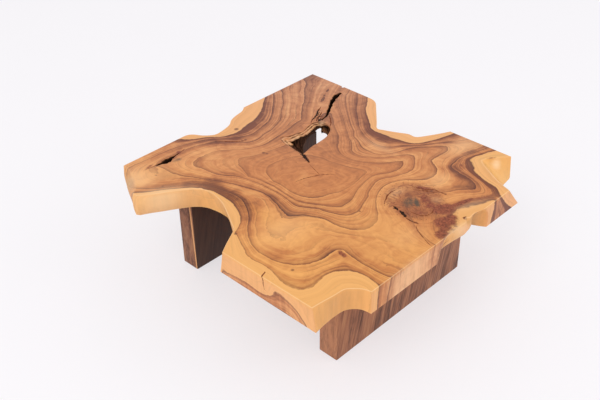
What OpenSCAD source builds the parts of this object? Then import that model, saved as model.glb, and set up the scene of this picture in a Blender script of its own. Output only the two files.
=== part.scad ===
// Live edge coffee table: a squared slice of a tree's root flare on two plank legs.
// +Z is up, and the origin is on the floor, under the middle of the slab's sawn square.

/* [Slab] */
// Length of the slab between its two sawn ends, along X
slab_x = 1200; // [1150:5:1260]
// Width of the slab between its two sawn sides, along Y
slab_y = 1212; // [1160:4:1270]
// Thickness of the slab
slab_t = 98; // [85:1:120]
// Height of the table's top above the floor
table_h = 450; // [420:5:480]

/* [Natural hole and cracks] */
// Depth of the long drying crack below the top
crack_depth = 64; // [30:1:66]
// Depth of the short slit near the left end
slit_depth = 42; // [15:1:60]

/* [Legs] */
// Length of the front plank leg, along X
leg_l = 746; // [720:2:780]
// How much shorter the rear leg is, at its right end
rear_leg_short = 24; // [0:2:40]
// Thickness of each plank leg
leg_t = 85; // [75:1:95]
// Distance from the slab's left sawn end to the legs' left ends
leg_inset_x = 222; // [205:1:240]
// Distance from the slab's front sawn side to the front leg
leg_inset_y = 175; // [160:1:190]
// Clear space between the two legs
leg_gap = 687; // [670:1:705]

/* [Leg bolts] */
// Number of bolts in each leg
bolt_count = 3; // [2:1:3]
// Distance from a leg's left end to its first bolt
bolt_first = 110; // [80:1:150]
// Distance from the front leg's right end to its last bolt
bolt_last = 130; // [110:1:160]
// Diameter of the bolts
bolt_d = 12; // [10:0.5:14]
// Width of the bolt heads across their flats
head_af = 18; // [16:0.5:21]
// Height of the bolt heads
head_h = 7.5; // [6:0.1:9]
// Clearance round a bolt in its hole through the leg
bolt_gap = 0.5; // [0.2:0.1:1]
// Clearance round a bolt's thread in its insert
thread_gap = 0.05; // [0.02:0.01:0.1]
// Depth of the counterbores that the bolt heads sit in
counterbore_depth = 74; // [60:1:110]
// Diameter of the counterbores
counterbore_d = 34; // [32:1:38]
// Outer diameter of the washers
washer_d = 30; // [24:1:31]
// Thickness of the washers
washer_t = 2.5; // [2:0.1:3]
// Outer diameter of the threaded inserts
insert_d = 19; // [17:0.5:22]
// Length of the threaded inserts
insert_l = 25; // [20:1:30]
// Depth left free past a bolt's end, and past its insert
spare_depth = 4; // [2:1:6]

/* [Dowels] */
// Diameter of the dowels that locate each leg
dowel_d = 16; // [12:1:20]
// Length of the dowels, half of it in the leg and half in the slab
dowel_l = 60; // [40:1:70]
// Space left at each end of a dowel for glue
glue_gap = 2; // [1:0.5:3]

/* [Floor pads] */
// Diameter of the felt pads under the legs
pad_d = 26; // [20:1:32]
// Thickness of the felt pads
pad_t = 3; // [2.5:0.1:5]
// Depth of the recess that a pad is glued into
pad_recess = 1.5; // [1:0.1:2]
// Distance from a leg's ends to its pads' centres
pad_inset_x = 40; // [30:1:60]
// Distance from a leg's long faces to its pads' centres
pad_inset_y = 25; // [22:1:28]

/* [Hidden] */
$fn = 48;
SIDES = ["front", "rear"];
ROWS = ["outer", "inner"];

heartwood = "#C68A55";
leg_wood = "#8A6250";
steel = "#A9ABAE";
brass = "#B8924A";
beech = "#D8B483";
felt = "#4A4541";

// Heights, from the floor up
pad_proud = pad_t - pad_recess;
slab_z = table_h - slab_t;
leg_h = slab_z - pad_proud;

// Places in the plan, measured from the slab's left sawn end and front sawn side
origin_x = slab_x / 2;
origin_y = slab_y / 2;
leg_x = leg_inset_x;
leg_y = [leg_inset_y, leg_inset_y + leg_t + leg_gap];
bolt_pitch = (leg_l - bolt_first - bolt_last) / (bolt_count - 1);
bolt_x = [for (i = [0:bolt_count - 1]) leg_x + bolt_first + i * bolt_pitch];
dowel_x = [for (i = [0:bolt_count - 2]) bolt_x[i] + bolt_pitch / 2];
axis_y = [for (y = leg_y) y + leg_t / 2];
leg_ls = [leg_l, leg_l - rear_leg_short];

// Underside of the bolt heads' washers, and the shanks' length from there up into the inserts
head_z = pad_proud + counterbore_depth - washer_t;
shank_l = slab_z + insert_l - spare_depth - head_z;

// How far a cut starts outside the face that it goes into
over = 1;

// The slab's outline was drawn on a slab of this length and width, and stretches with it
drawn_x = 1525;
drawn_y = 1540;
// The point that the whole outline can be seen from, in the same drawing
heart = [800, 850];
// Steps of the curve between two stations
STEPS = 3;
// Heights of the outlines, as shares of the slab's thickness: the edge runs a little past both
// faces and is then cut off flat
LEVELS = [-0.02, 0.15, 0.35, 0.6, 0.85, 1.02];

// Stations of the live edge, run by run, going round from the front corner. Each one is
// [x, y] at the top, then how far the edge moves from there at half height, and at the bottom.
FRONT_BAY = [
    [0, 111, 0, -12, 0, -23], [60, 105, 0, -5, -2, -9], [120, 97, -3, 2, -5, 3],
    [177, 91, -1, 4, -2, 6], [209, 63, 0, 10, 0, 17], [229, 37, 3, 5, 6, 11],
    [240, 0, 2, 0, 3, 0]
];
UNDERCUT_BAY = [
    [740, 0, -24, 0, -44, 0], [778, 4, -36, 24, -66, 30], [815, 5, -25, 29, -65, 45],
    [860, 3, -10, 11, -30, 52], [905, 2, -15, -1, -5, 56], [925, 24, 0, -22, 10, 38],
    [945, 12, 21, 2, 40, 68], [985, 14, 5, 29, 35, 74], [1010, 8, 0, 56, 30, 70],
    [1030, 2, 20, 58, 22, 58], [1048, 0, 30, 25, 20, 28], [1060, 0, 30, 0, 25, 0]
];
RIGHT_END = [
    [1255, 0, 50, 0, 102, 0], [1264, 28, 52, -2, 112, -2], [1278, 62, 54, -3, 122, -2],
    [1300, 105, 56, -6, 125, -13], [1335, 165, 50, -18, 101, -35], [1375, 230, 38, -45, 75, -92],
    [1406, 254, 30, -58, 60, -113], [1457, 215, 16, -36, 33, -69], [1500, 182, 5, -16, 10, -32],
    [1525, 165, 0, -5, 0, -10]
];
RIGHT_BAY = [
    [1525, 540, 0, 4, 0, 10], [1480, 562, -4, 4, -8, 10], [1420, 595, -6, 5, -14, 10],
    [1358, 636, -8, 3, -18, 6], [1354, 685, -8, 0, -18, -2], [1325, 745, -9, -2, -18, -6],
    [1298, 808, -9, -1, -20, -2], [1290, 845, -10, 0, -22, 4], [1350, 897, -8, 6, -14, 14],
    [1450, 985, -5, 6, -10, 14], [1500, 1030, -3, 5, -6, 12], [1520, 1065, -1, 5, -2, 10],
    [1525, 1105, 0, 4, 0, 8]
];
SPLIT_END = [
    [1525, 1287, 0, 0, 0, 0], [1506, 1299, 2, 0, 4, 0], [1525, 1307, 0, 0, 0, 0]
];
BACK_BAY = [
    [965, 1540, 4, 0, 12, 0], [925, 1515, 3, -4, 8, -12], [865, 1502, 0, -6, 2, -16],
    [820, 1485, 0, -6, 2, -16], [775, 1453, 0, -7, 0, -18], [715, 1436, 0, -8, 0, -20],
    [665, 1431, 0, -8, -2, -20], [635, 1445, -4, -6, -10, -16], [605, 1475, -5, -3, -14, -8],
    [583, 1512, -6, -2, -14, -4], [560, 1533, -6, -1, -14, -2], [535, 1540, -6, 0, -14, 0]
];
LEFT_END = [
    [140, 1540, 4, 0, 25, 0], [112, 1500, 2, 0, 22, 0], [80, 1440, -2, 0, 20, 0],
    [47, 1372, -4, 0, 18, -4], [25, 1320, -5, 0, 8, -6], [12, 1294, -8, 0, 4, 0]
];
LEFT_BAY = [
    [16, 1270, -9, -4, 10, 8], [50, 1245, -2, -6, 18, 10], [96, 1214, 0, -4, 14, 14],
    [164, 1173, 3, -4, 20, 11], [228, 1126, 8, 2, 22, 12], [263, 1087, 10, 3, 22, 4],
    [274, 1039, 12, 0, 24, -2], [271, 995, 14, 0, 31, -5], [251, 925, 17, 1, 46, 14],
    [212, 848, 20, 7, 50, 32], [178, 788, 20, 14, 55, 52], [148, 735, 18, 18, 50, 62],
    [115, 713, 10, 12, 34, 40], [54, 679, 6, 10, 14, 28], [0, 645, 0, 10, 0, 23]
];

// Share of the slab's thickness that the natural hole is cut past each face
hole_past = 0.08;
// Rim of the natural hole: [x, y] at the top, then [x, y] at the bottom
HOLE = [
    [833, 958, 965, 1000], [905, 972, 1000, 1000], [965, 975, 1060, 1015],
    [1030, 982, 1140, 1060], [1065, 995, 1190, 1092], [1110, 1020, 1224, 1128],
    [1130, 1055, 1226, 1165], [1125, 1090, 1246, 1205], [1100, 1118, 1225, 1214],
    [1050, 1112, 1190, 1208], [1000, 1098, 1120, 1190], [950, 1106, 1060, 1160],
    [900, 1118, 1010, 1125], [872, 1140, 985, 1095], [855, 1100, 972, 1070],
    [838, 1060, 965, 1045], [829, 1000, 958, 1020]
];
// A point inside the hole at the top, and one at the bottom
HOLE_HEART = [960, 1040, 1110, 1120];
// Centre line of the drying crack, and of the slit: [x, y, half width]
CRACK = [
    [1118, 1107, 4], [1160, 1124, 4], [1205, 1135, 5], [1240, 1156, 7], [1300, 1193, 8],
    [1345, 1221, 10], [1400, 1246, 12], [1435, 1254, 11], [1460, 1256, 3]
];
SLIT = [
    [246, 1416, 2], [280, 1413, 6], [305, 1410, 13], [325, 1412, 19], [345, 1417, 9],
    [375, 1419, 4], [404, 1426, 2]
];
// How much narrower a crack is at its floor than at the top
crack_floor = 0.35;

function clamp(v, low, high) = min(max(v, low), high);

// A place in the drawing, stretched to the slab and then trimmed by the saw cuts
function sawn(x, y) = [
    clamp(x * slab_x / drawn_x, 0, slab_x) - origin_x,
    clamp(y * slab_y / drawn_y, 0, slab_y) - origin_y
];

// The same without the trimming, for what lies inside the slab
function placed(x, y) = [x * slab_x / drawn_x - origin_x, y * slab_y / drawn_y - origin_y];

// A smooth curve through four neighbouring stations, at t from the second to the third
function between(a, b, c, d, t) = 0.5 * (2 * b + (c - a) * t
    + (2 * a - 5 * b + 4 * c - d) * t * t + (3 * b - a - 3 * c + d) * t * t * t);

// A whole run of stations made smooth, with its last station kept
function smooth_run(p) = concat(
    [for (i = [0:len(p) - 2]) for (k = [0:STEPS - 1])
        between(p[max(i - 1, 0)], p[i], p[i + 1], p[min(i + 2, len(p) - 1)], k / STEPS)],
    [p[len(p) - 1]]
);

OUTLINE = concat(
    smooth_run(FRONT_BAY), smooth_run(UNDERCUT_BAY), smooth_run(RIGHT_END), smooth_run(RIGHT_BAY),
    SPLIT_END, [[1525, 1540, 0, 0, 0, 0]], smooth_run(BACK_BAY), smooth_run(LEFT_END),
    smooth_run(LEFT_BAY)
);

// The outline at a share t of the slab's height: a parabola through bottom, middle and top
function level(t) = [for (p = OUTLINE)
    let (m = 4 * t * (1 - t), b = (2 * t - 1) * (t - 1))
    sawn(p[0] + m * p[2] + b * p[4], p[1] + m * p[3] + b * p[5])
];

// A closed body through stacked rings of points, with a fan of faces at each end.
// Each ring runs the same way round and has the same number of points.
module ring_body(rings, heights, low_centre, high_centre) {
    n = len(rings[0]);
    top = len(rings) - 1;
    points = concat(
        [for (k = [0:top]) for (p = rings[k]) [p[0], p[1], heights[k]]],
        [[low_centre[0], low_centre[1], heights[0]]],
        [[high_centre[0], high_centre[1], heights[top]]]
    );
    low_fan = [for (i = [0:n - 1]) [i, (i + 1) % n, n * (top + 1)]];
    high_fan = [for (i = [0:n - 1]) [n * top + (i + 1) % n, n * top + i, n * (top + 1) + 1]];
    walls = [for (k = [0:top - 1]) for (i = [0:n - 1])
        let (j = (i + 1) % n, a = n * k, b = n * (k + 1))
        each [[a + i, b + i, a + j], [a + j, b + i, b + j]]
    ];
    polyhedron(points, concat(low_fan, high_fan, walls));
}

// The slab before it is drilled: the live edge between the sawn sides, and two flat faces
module slab_blank() {
    centre = placed(heart[0], heart[1]);
    heights = [for (t = LEVELS) slab_z + t * slab_t];
    intersection() {
        ring_body([for (t = LEVELS) level(t)], heights, centre, centre);
        translate([-slab_x, -slab_y, slab_z]) cube([2 * slab_x, 2 * slab_y, slab_t]);
    }
}

// The natural hole, which leans back as it goes down
module natural_hole() {
    ends = [-hole_past, 1 + hole_past];
    rings = [for (t = ends) [for (p = HOLE)
        placed(p[2] + t * (p[0] - p[2]), p[3] + t * (p[1] - p[3]))]];
    hearts = [for (t = ends) placed(
        HOLE_HEART[2] + t * (HOLE_HEART[0] - HOLE_HEART[2]),
        HOLE_HEART[3] + t * (HOLE_HEART[1] - HOLE_HEART[3]))];
    heights = [for (t = ends) slab_z + t * slab_t];
    ring_body(rings, heights, hearts[0], hearts[1]);
}

// A V shaped crack down from the top, along stations of [x, y, half width]
module crack(stations, depth) {
    n = len(stations);
    way = [for (i = [0:n - 1])
        let (d = stations[min(i + 1, n - 1)] - stations[max(i - 1, 0)], l = norm([d[0], d[1]]))
        [d[1] / l, -d[0] / l]
    ];
    function edge(i, side, share) =
        let (s = stations[i], p = placed(s[0] + side * share * s[2] * way[i][0],
            s[1] + side * share * s[2] * way[i][1]))
        [p[0], p[1], share == 1 ? table_h + over : table_h - depth];
    points = [for (i = [0:n - 1]) each [
        edge(i, -1, 1), edge(i, 1, 1), edge(i, 1, crack_floor), edge(i, -1, crack_floor)
    ]];
    skin = [for (i = [0:n - 2]) for (k = [0:3])
        let (a = 4 * i, b = a + 4, m = (k + 1) % 4)
        each [[a + k, b + k, a + m], [b + k, b + m, a + m]]
    ];
    last = 4 * (n - 1);
    ends = [[0, 1, 2], [0, 2, 3], [last, last + 2, last + 1], [last, last + 3, last + 2]];
    polyhedron(points, concat(skin, ends));
}

// A round hole going up from a face at height z
module bore(x, y, z, d, depth) {
    translate([x - origin_x, y - origin_y, z - over]) cylinder(d = d, h = depth + over);
}

// The slab: a squared slice of a root flare, with its hole, cracks and the bores for the legs
module slab_top() {
    color(heartwood)
    difference() {
        slab_blank();
        natural_hole();
        crack(CRACK, crack_depth);
        crack(SLIT, slit_depth);
        for (y = axis_y) {
            for (x = bolt_x) bore(x, y, slab_z, insert_d, insert_l + spare_depth);
            for (x = dowel_x) bore(x, y, slab_z, dowel_d, dowel_l / 2 + glue_gap);
        }
    }
}

// A plank leg on its long edge, drilled from below for its bolts and from above for its dowels
module plank_leg(s) {
    color(leg_wood)
    difference() {
        translate([leg_x - origin_x, leg_y[s] - origin_y, pad_proud]) cube([leg_ls[s], leg_t, leg_h]);
        for (x = bolt_x) {
            bore(x, axis_y[s], pad_proud, counterbore_d, counterbore_depth);
            bore(x, axis_y[s], pad_proud, bolt_d + 2 * bolt_gap, leg_h + over);
        }
        for (x = dowel_x) {
            translate([x - origin_x, axis_y[s] - origin_y, slab_z - dowel_l / 2 - glue_gap])
                cylinder(d = dowel_d, h = dowel_l / 2 + glue_gap + over);
        }
        for (x = pad_x(s)) for (y = pad_y(s)) bore(x, y, pad_proud, pad_d, pad_recess);
    }
}

// A hexagon head bolt, pushed up from below
module leg_bolt(s, i) {
    color(steel)
    translate([bolt_x[i] - origin_x, axis_y[s] - origin_y, head_z]) {
        translate([0, 0, -head_h]) cylinder(d = head_af / cos(30), h = head_h, $fn = 6);
        cylinder(d = bolt_d, h = shank_l);
    }
}

// A flat washer between a bolt's head and the end of its counterbore
module leg_washer(s, i) {
    color(steel)
    difference() {
        translate([bolt_x[i] - origin_x, axis_y[s] - origin_y, head_z])
            cylinder(d = washer_d, h = washer_t);
        bore(bolt_x[i], axis_y[s], head_z, bolt_d + 2 * bolt_gap, washer_t + over);
    }
}

// A threaded insert in the underside of the slab
module leg_insert(s, i) {
    color(brass)
    difference() {
        translate([bolt_x[i] - origin_x, axis_y[s] - origin_y, slab_z])
            cylinder(d = insert_d, h = insert_l);
        bore(bolt_x[i], axis_y[s], slab_z, bolt_d + 2 * thread_gap, insert_l + over);
    }
}

// A dowel across the joint of leg and slab
module leg_dowel(s, i) {
    color(beech)
    translate([dowel_x[i] - origin_x, axis_y[s] - origin_y, slab_z - dowel_l / 2])
        cylinder(d = dowel_d, h = dowel_l);
}

// The pads' places along a leg, at its left and right ends
function pad_x(s) = [leg_x + pad_inset_x, leg_x + leg_ls[s] - pad_inset_x];

// The two lines of pads under a leg: the outer one is nearest to the slab's own side
function pad_y(s) = s == 0
    ? [leg_y[s] + pad_inset_y, leg_y[s] + leg_t - pad_inset_y]
    : [leg_y[s] + leg_t - pad_inset_y, leg_y[s] + pad_inset_y];

// A felt pad in its recess under a leg
module floor_pad(s, row, end) {
    color(felt)
    translate([pad_x(s)[end] - origin_x, pad_y(s)[row] - origin_y, 0]) cylinder(d = pad_d, h = pad_t);
}

module front_leg() { plank_leg(0); }
module rear_leg() { plank_leg(1); }

slab_top();
front_leg();
rear_leg();
for (s = [0, 1]) {
    for (i = [0:bolt_count - 1]) {
        leg_bolt(s, i);
        leg_washer(s, i);
        leg_insert(s, i);
    }
    for (i = [0:bolt_count - 2]) {
        leg_dowel(s, i);
    }
    for (row = [0, 1]) {
        for (end = [0, 1]) {
            name = str(SIDES[s], "_pad_", ROWS[row], "_", end == 0 ? "left" : "right");
            floor_pad(s, row, end);
        }
    }
}
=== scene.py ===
"""A live edge coffee table: a squared slice of a tree's root flare on two plank legs.

The slab is drawn on its own grid of 1525 by 1540 by 125 units: u runs along it from the left sawn
end, v from the front sawn side, and z up from the underside. Each unit is a little under 0.8 mm, and
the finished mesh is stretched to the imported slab, in metres.
"""

import math

import bmesh
import bpy
import numpy as np
from mathutils import Matrix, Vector
from mathutils.geometry import delaunay_2d_cdt


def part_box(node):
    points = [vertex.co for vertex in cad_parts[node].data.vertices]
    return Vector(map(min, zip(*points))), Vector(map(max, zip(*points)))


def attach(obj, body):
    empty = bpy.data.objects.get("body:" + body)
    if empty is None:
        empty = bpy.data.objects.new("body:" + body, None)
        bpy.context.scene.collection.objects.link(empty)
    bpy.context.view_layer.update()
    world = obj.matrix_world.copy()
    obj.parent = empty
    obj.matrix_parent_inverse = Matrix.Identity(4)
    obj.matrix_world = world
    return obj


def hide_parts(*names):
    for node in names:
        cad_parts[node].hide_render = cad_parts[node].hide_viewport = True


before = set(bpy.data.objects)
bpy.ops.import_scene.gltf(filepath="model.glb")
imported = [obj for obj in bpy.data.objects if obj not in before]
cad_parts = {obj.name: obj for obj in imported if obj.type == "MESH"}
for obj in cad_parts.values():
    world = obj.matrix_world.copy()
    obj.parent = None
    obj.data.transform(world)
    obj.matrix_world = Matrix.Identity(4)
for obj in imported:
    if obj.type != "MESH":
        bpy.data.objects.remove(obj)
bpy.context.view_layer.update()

bl_info = {
    "name": "Live edge coffee table",
    "version": (1, 0, 0),
    "blender": (4, 5, 0),
    "location": "View3D > Sidebar > Live edge table",
    "description": "Builds a squared slice of a root flare on two plank legs",
    "category": "Add Mesh",
}

# Length, width and thickness of the slab as drawn, and its packed corners in metres
DRAWN = np.array([1525.0, 1540.0, 125.0])
SLAB_T = DRAWN[2]
SLAB_LOW, SLAB_HIGH = (np.array(corner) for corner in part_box("slab_top"))
# Drawn units in a metre
UNITS = DRAWN[0] / (SLAB_HIGH[0] - SLAB_LOW[0])

# Stations of the live edge, run by run, going round from the front corner. Each one is [u, v] at
# the top, then how far the edge moves from there at half height, and at the bottom.
FRONT_BAY = [
    [0, 111, 0, -12, 0, -23], [60, 105, 0, -5, -2, -9], [120, 97, -3, 2, -5, 3],
    [177, 91, -1, 4, -2, 6], [209, 63, 0, 10, 0, 17], [229, 37, 3, 5, 6, 11],
    [240, 0, 2, 0, 3, 0],
]
UNDERCUT_BAY = [
    [740, 0, -24, 0, -44, 0], [778, 4, -36, 24, -66, 30], [815, 5, -25, 29, -65, 45],
    [860, 3, -10, 11, -30, 52], [905, 2, -15, -1, -5, 56], [925, 24, 0, -22, 10, 38],
    [945, 12, 21, 2, 40, 68], [985, 14, 5, 29, 35, 74], [1010, 8, 0, 56, 30, 70],
    [1030, 2, 20, 58, 22, 58], [1048, 0, 30, 25, 20, 28], [1060, 0, 30, 0, 25, 0],
]
RIGHT_END = [
    [1255, 0, 50, 0, 102, 0], [1264, 28, 52, -2, 112, -2], [1278, 62, 54, -3, 122, -2],
    [1300, 105, 56, -6, 125, -13], [1335, 165, 50, -18, 101, -35], [1375, 230, 38, -45, 75, -92],
    [1406, 254, 30, -58, 60, -113], [1457, 215, 16, -36, 33, -69], [1500, 182, 5, -16, 10, -32],
    [1525, 165, 0, -5, 0, -10],
]
RIGHT_BAY = [
    [1525, 540, 0, 4, 0, 10], [1480, 562, -4, 4, -8, 10], [1420, 595, -6, 5, -14, 10],
    [1358, 636, -8, 3, -18, 6], [1354, 685, -8, 0, -18, -2], [1325, 745, -9, -2, -18, -6],
    [1298, 808, -9, -1, -20, -2], [1290, 845, -10, 0, -22, 4], [1350, 897, -8, 6, -14, 14],
    [1450, 985, -5, 6, -10, 14], [1500, 1030, -3, 5, -6, 12], [1520, 1065, -1, 5, -2, 10],
    [1525, 1105, 0, 4, 0, 8],
]
SPLIT_END = [
    [1525, 1287, 0, 0, 0, 0], [1506, 1299, 2, 0, 4, 0], [1525, 1307, 0, 0, 0, 0],
]
BACK_CORNER = [[1525, 1540, 0, 0, 0, 0]]
BACK_BAY = [
    [965, 1540, 4, 0, 12, 0], [925, 1515, 3, -4, 8, -12], [865, 1502, 0, -6, 2, -16],
    [820, 1485, 0, -6, 2, -16], [775, 1453, 0, -7, 0, -18], [715, 1436, 0, -8, 0, -20],
    [665, 1431, 0, -8, -2, -20], [635, 1445, -4, -6, -10, -16], [605, 1475, -5, -3, -14, -8],
    [583, 1512, -6, -2, -14, -4], [560, 1533, -6, -1, -14, -2], [535, 1540, -6, 0, -14, 0],
]
LEFT_END = [
    [140, 1540, 4, 0, 25, 0], [112, 1500, 2, 0, 22, 0], [80, 1440, -2, 0, 20, 0],
    [47, 1372, -4, 0, 18, -4], [25, 1320, -5, 0, 8, -6], [12, 1294, -8, 0, 4, 0],
]
LEFT_BAY = [
    [16, 1270, -9, -4, 10, 8], [50, 1245, -2, -6, 18, 10], [96, 1214, 0, -4, 14, 14],
    [164, 1173, 3, -4, 20, 11], [228, 1126, 8, 2, 22, 12], [263, 1087, 10, 3, 22, 4],
    [274, 1039, 12, 0, 24, -2], [271, 995, 14, 0, 31, -5], [251, 925, 17, 1, 46, 14],
    [212, 848, 20, 7, 50, 32], [178, 788, 20, 14, 55, 52], [148, 735, 18, 18, 50, 62],
    [115, 713, 10, 12, 34, 40], [54, 679, 6, 10, 14, 28], [0, 645, 0, 10, 0, 23],
]
# Each run with the radius that its top edge is rounded to, at its first and last stations or at all
EDGE_RUNS = [
    (FRONT_BAY, [4]), (UNDERCUT_BAY, [3]), (RIGHT_END, [4, 4, 5, 7, 9, 8, 6, 5, 4, 3]), (RIGHT_BAY, [5]),
    (SPLIT_END, [1.5]), (BACK_CORNER, [3]), (BACK_BAY, [5]), (LEFT_END, [8, 24, 34, 32, 16, 3]),
    (LEFT_BAY, [3, 5, 6, 6, 6, 6, 6, 6, 6, 6, 6, 5, 4, 4, 3]),
]

# Rim of the natural hole: [u, v] at the top, then [u, v] at the bottom
HOLE = [
    [833, 958, 965, 1000], [905, 972, 1000, 1000], [965, 975, 1060, 1015],
    [1030, 982, 1140, 1060], [1065, 995, 1190, 1092], [1110, 1020, 1224, 1128],
    [1130, 1055, 1226, 1165], [1125, 1090, 1246, 1205], [1100, 1118, 1225, 1214],
    [1050, 1112, 1190, 1208], [1000, 1098, 1120, 1190], [950, 1106, 1060, 1160],
    [900, 1118, 1010, 1125], [872, 1140, 985, 1095], [855, 1100, 972, 1070],
    [838, 1060, 965, 1045], [829, 1000, 958, 1020],
]
# Centre line of the drying crack, and of the slit: [u, v, half width]
CRACK = [
    [1150, 1123, 3], [1172, 1127, 3.5], [1205, 1135, 4], [1240, 1156, 6], [1300, 1193, 6.5],
    [1345, 1221, 8.5], [1400, 1246, 10.5], [1435, 1254, 9.5], [1460, 1256, 3],
]
SLIT = [
    [246, 1416, 2], [272, 1413, 6], [300, 1410, 12], [325, 1412, 15], [346, 1417, 8],
    [370, 1419, 3.5], [404, 1424, 2],
]
# The hole's walls from the top down: depth, how far out of the straight wall the front one is and the
# back one, how dark the back one is, with lines of painted shadow under its ledges and painted shade
# further down, and how much painted highlight its ledges have. The back rim is torn into two ledges.
HOLE_ROWS = [
    (0, 5, 14, 0.0, 0.0), (0.6, 2.8, 12.5, 0.95, 0.0), (3, 1.0, 10.5, 0.6, 0.0), (4, 0.6, 6, 0.05, 0.5),
    (6, 0.2, 2, 0.3, 0.0), (9, 0, 0, 0.85, 0.0), (10, 0, -5, 0.5, 0.0), (11, 0, -9, 0.1, 0.5),
    (14, 0, -13, 0.35, 0.0), (18, 0, -17, 0.6, 0.0), (24, 0, -14, 0.85, 0.0), (36, 0, -4, 1.0, 0.0),
]
# A lump on the hole's right wall: [u, v, depth], its reach along and down, and how far it stands out
HOLE_LUMP = [1190, 1125, 80, 52, 45, 36]
# Where the hole's rim turns from its front to its back, along v, how ragged the torn back rim is and
# how far down, and how rough the wall is below
HOLE_BACK = (1050, 1095)
HOLE_TORN, TORN_DEPTH = 5, 30
HOLE_ROUGHNESS = 2.0
# The small hollow under the right end's rim: [u, v, depth], its reach along and down, and how deep
SCOOP = [1448, 224, 14, 36, 8, 8]
# How far the live edge waves in and out, and the widest rounding of the underside's edge
EDGE_WAVE = 1.6
LOW_ROUNDING = 12
CRACK_DEPTH = 82
SLIT_DEPTH = 54
# Width of a crack at its floor, as a share of its width at the top
CRACK_FLOOR = 0.35
# Rows of faces down the walls of the sides, the hole, the crack and the slit, and the distance
# between the points of the underside
SIDE_ROWS, HOLE_WALL_ROWS, CRACK_ROWS, SLIT_ROWS = 8, 12, 6, 5
UNDERSIDE_GAP = 40

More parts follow.
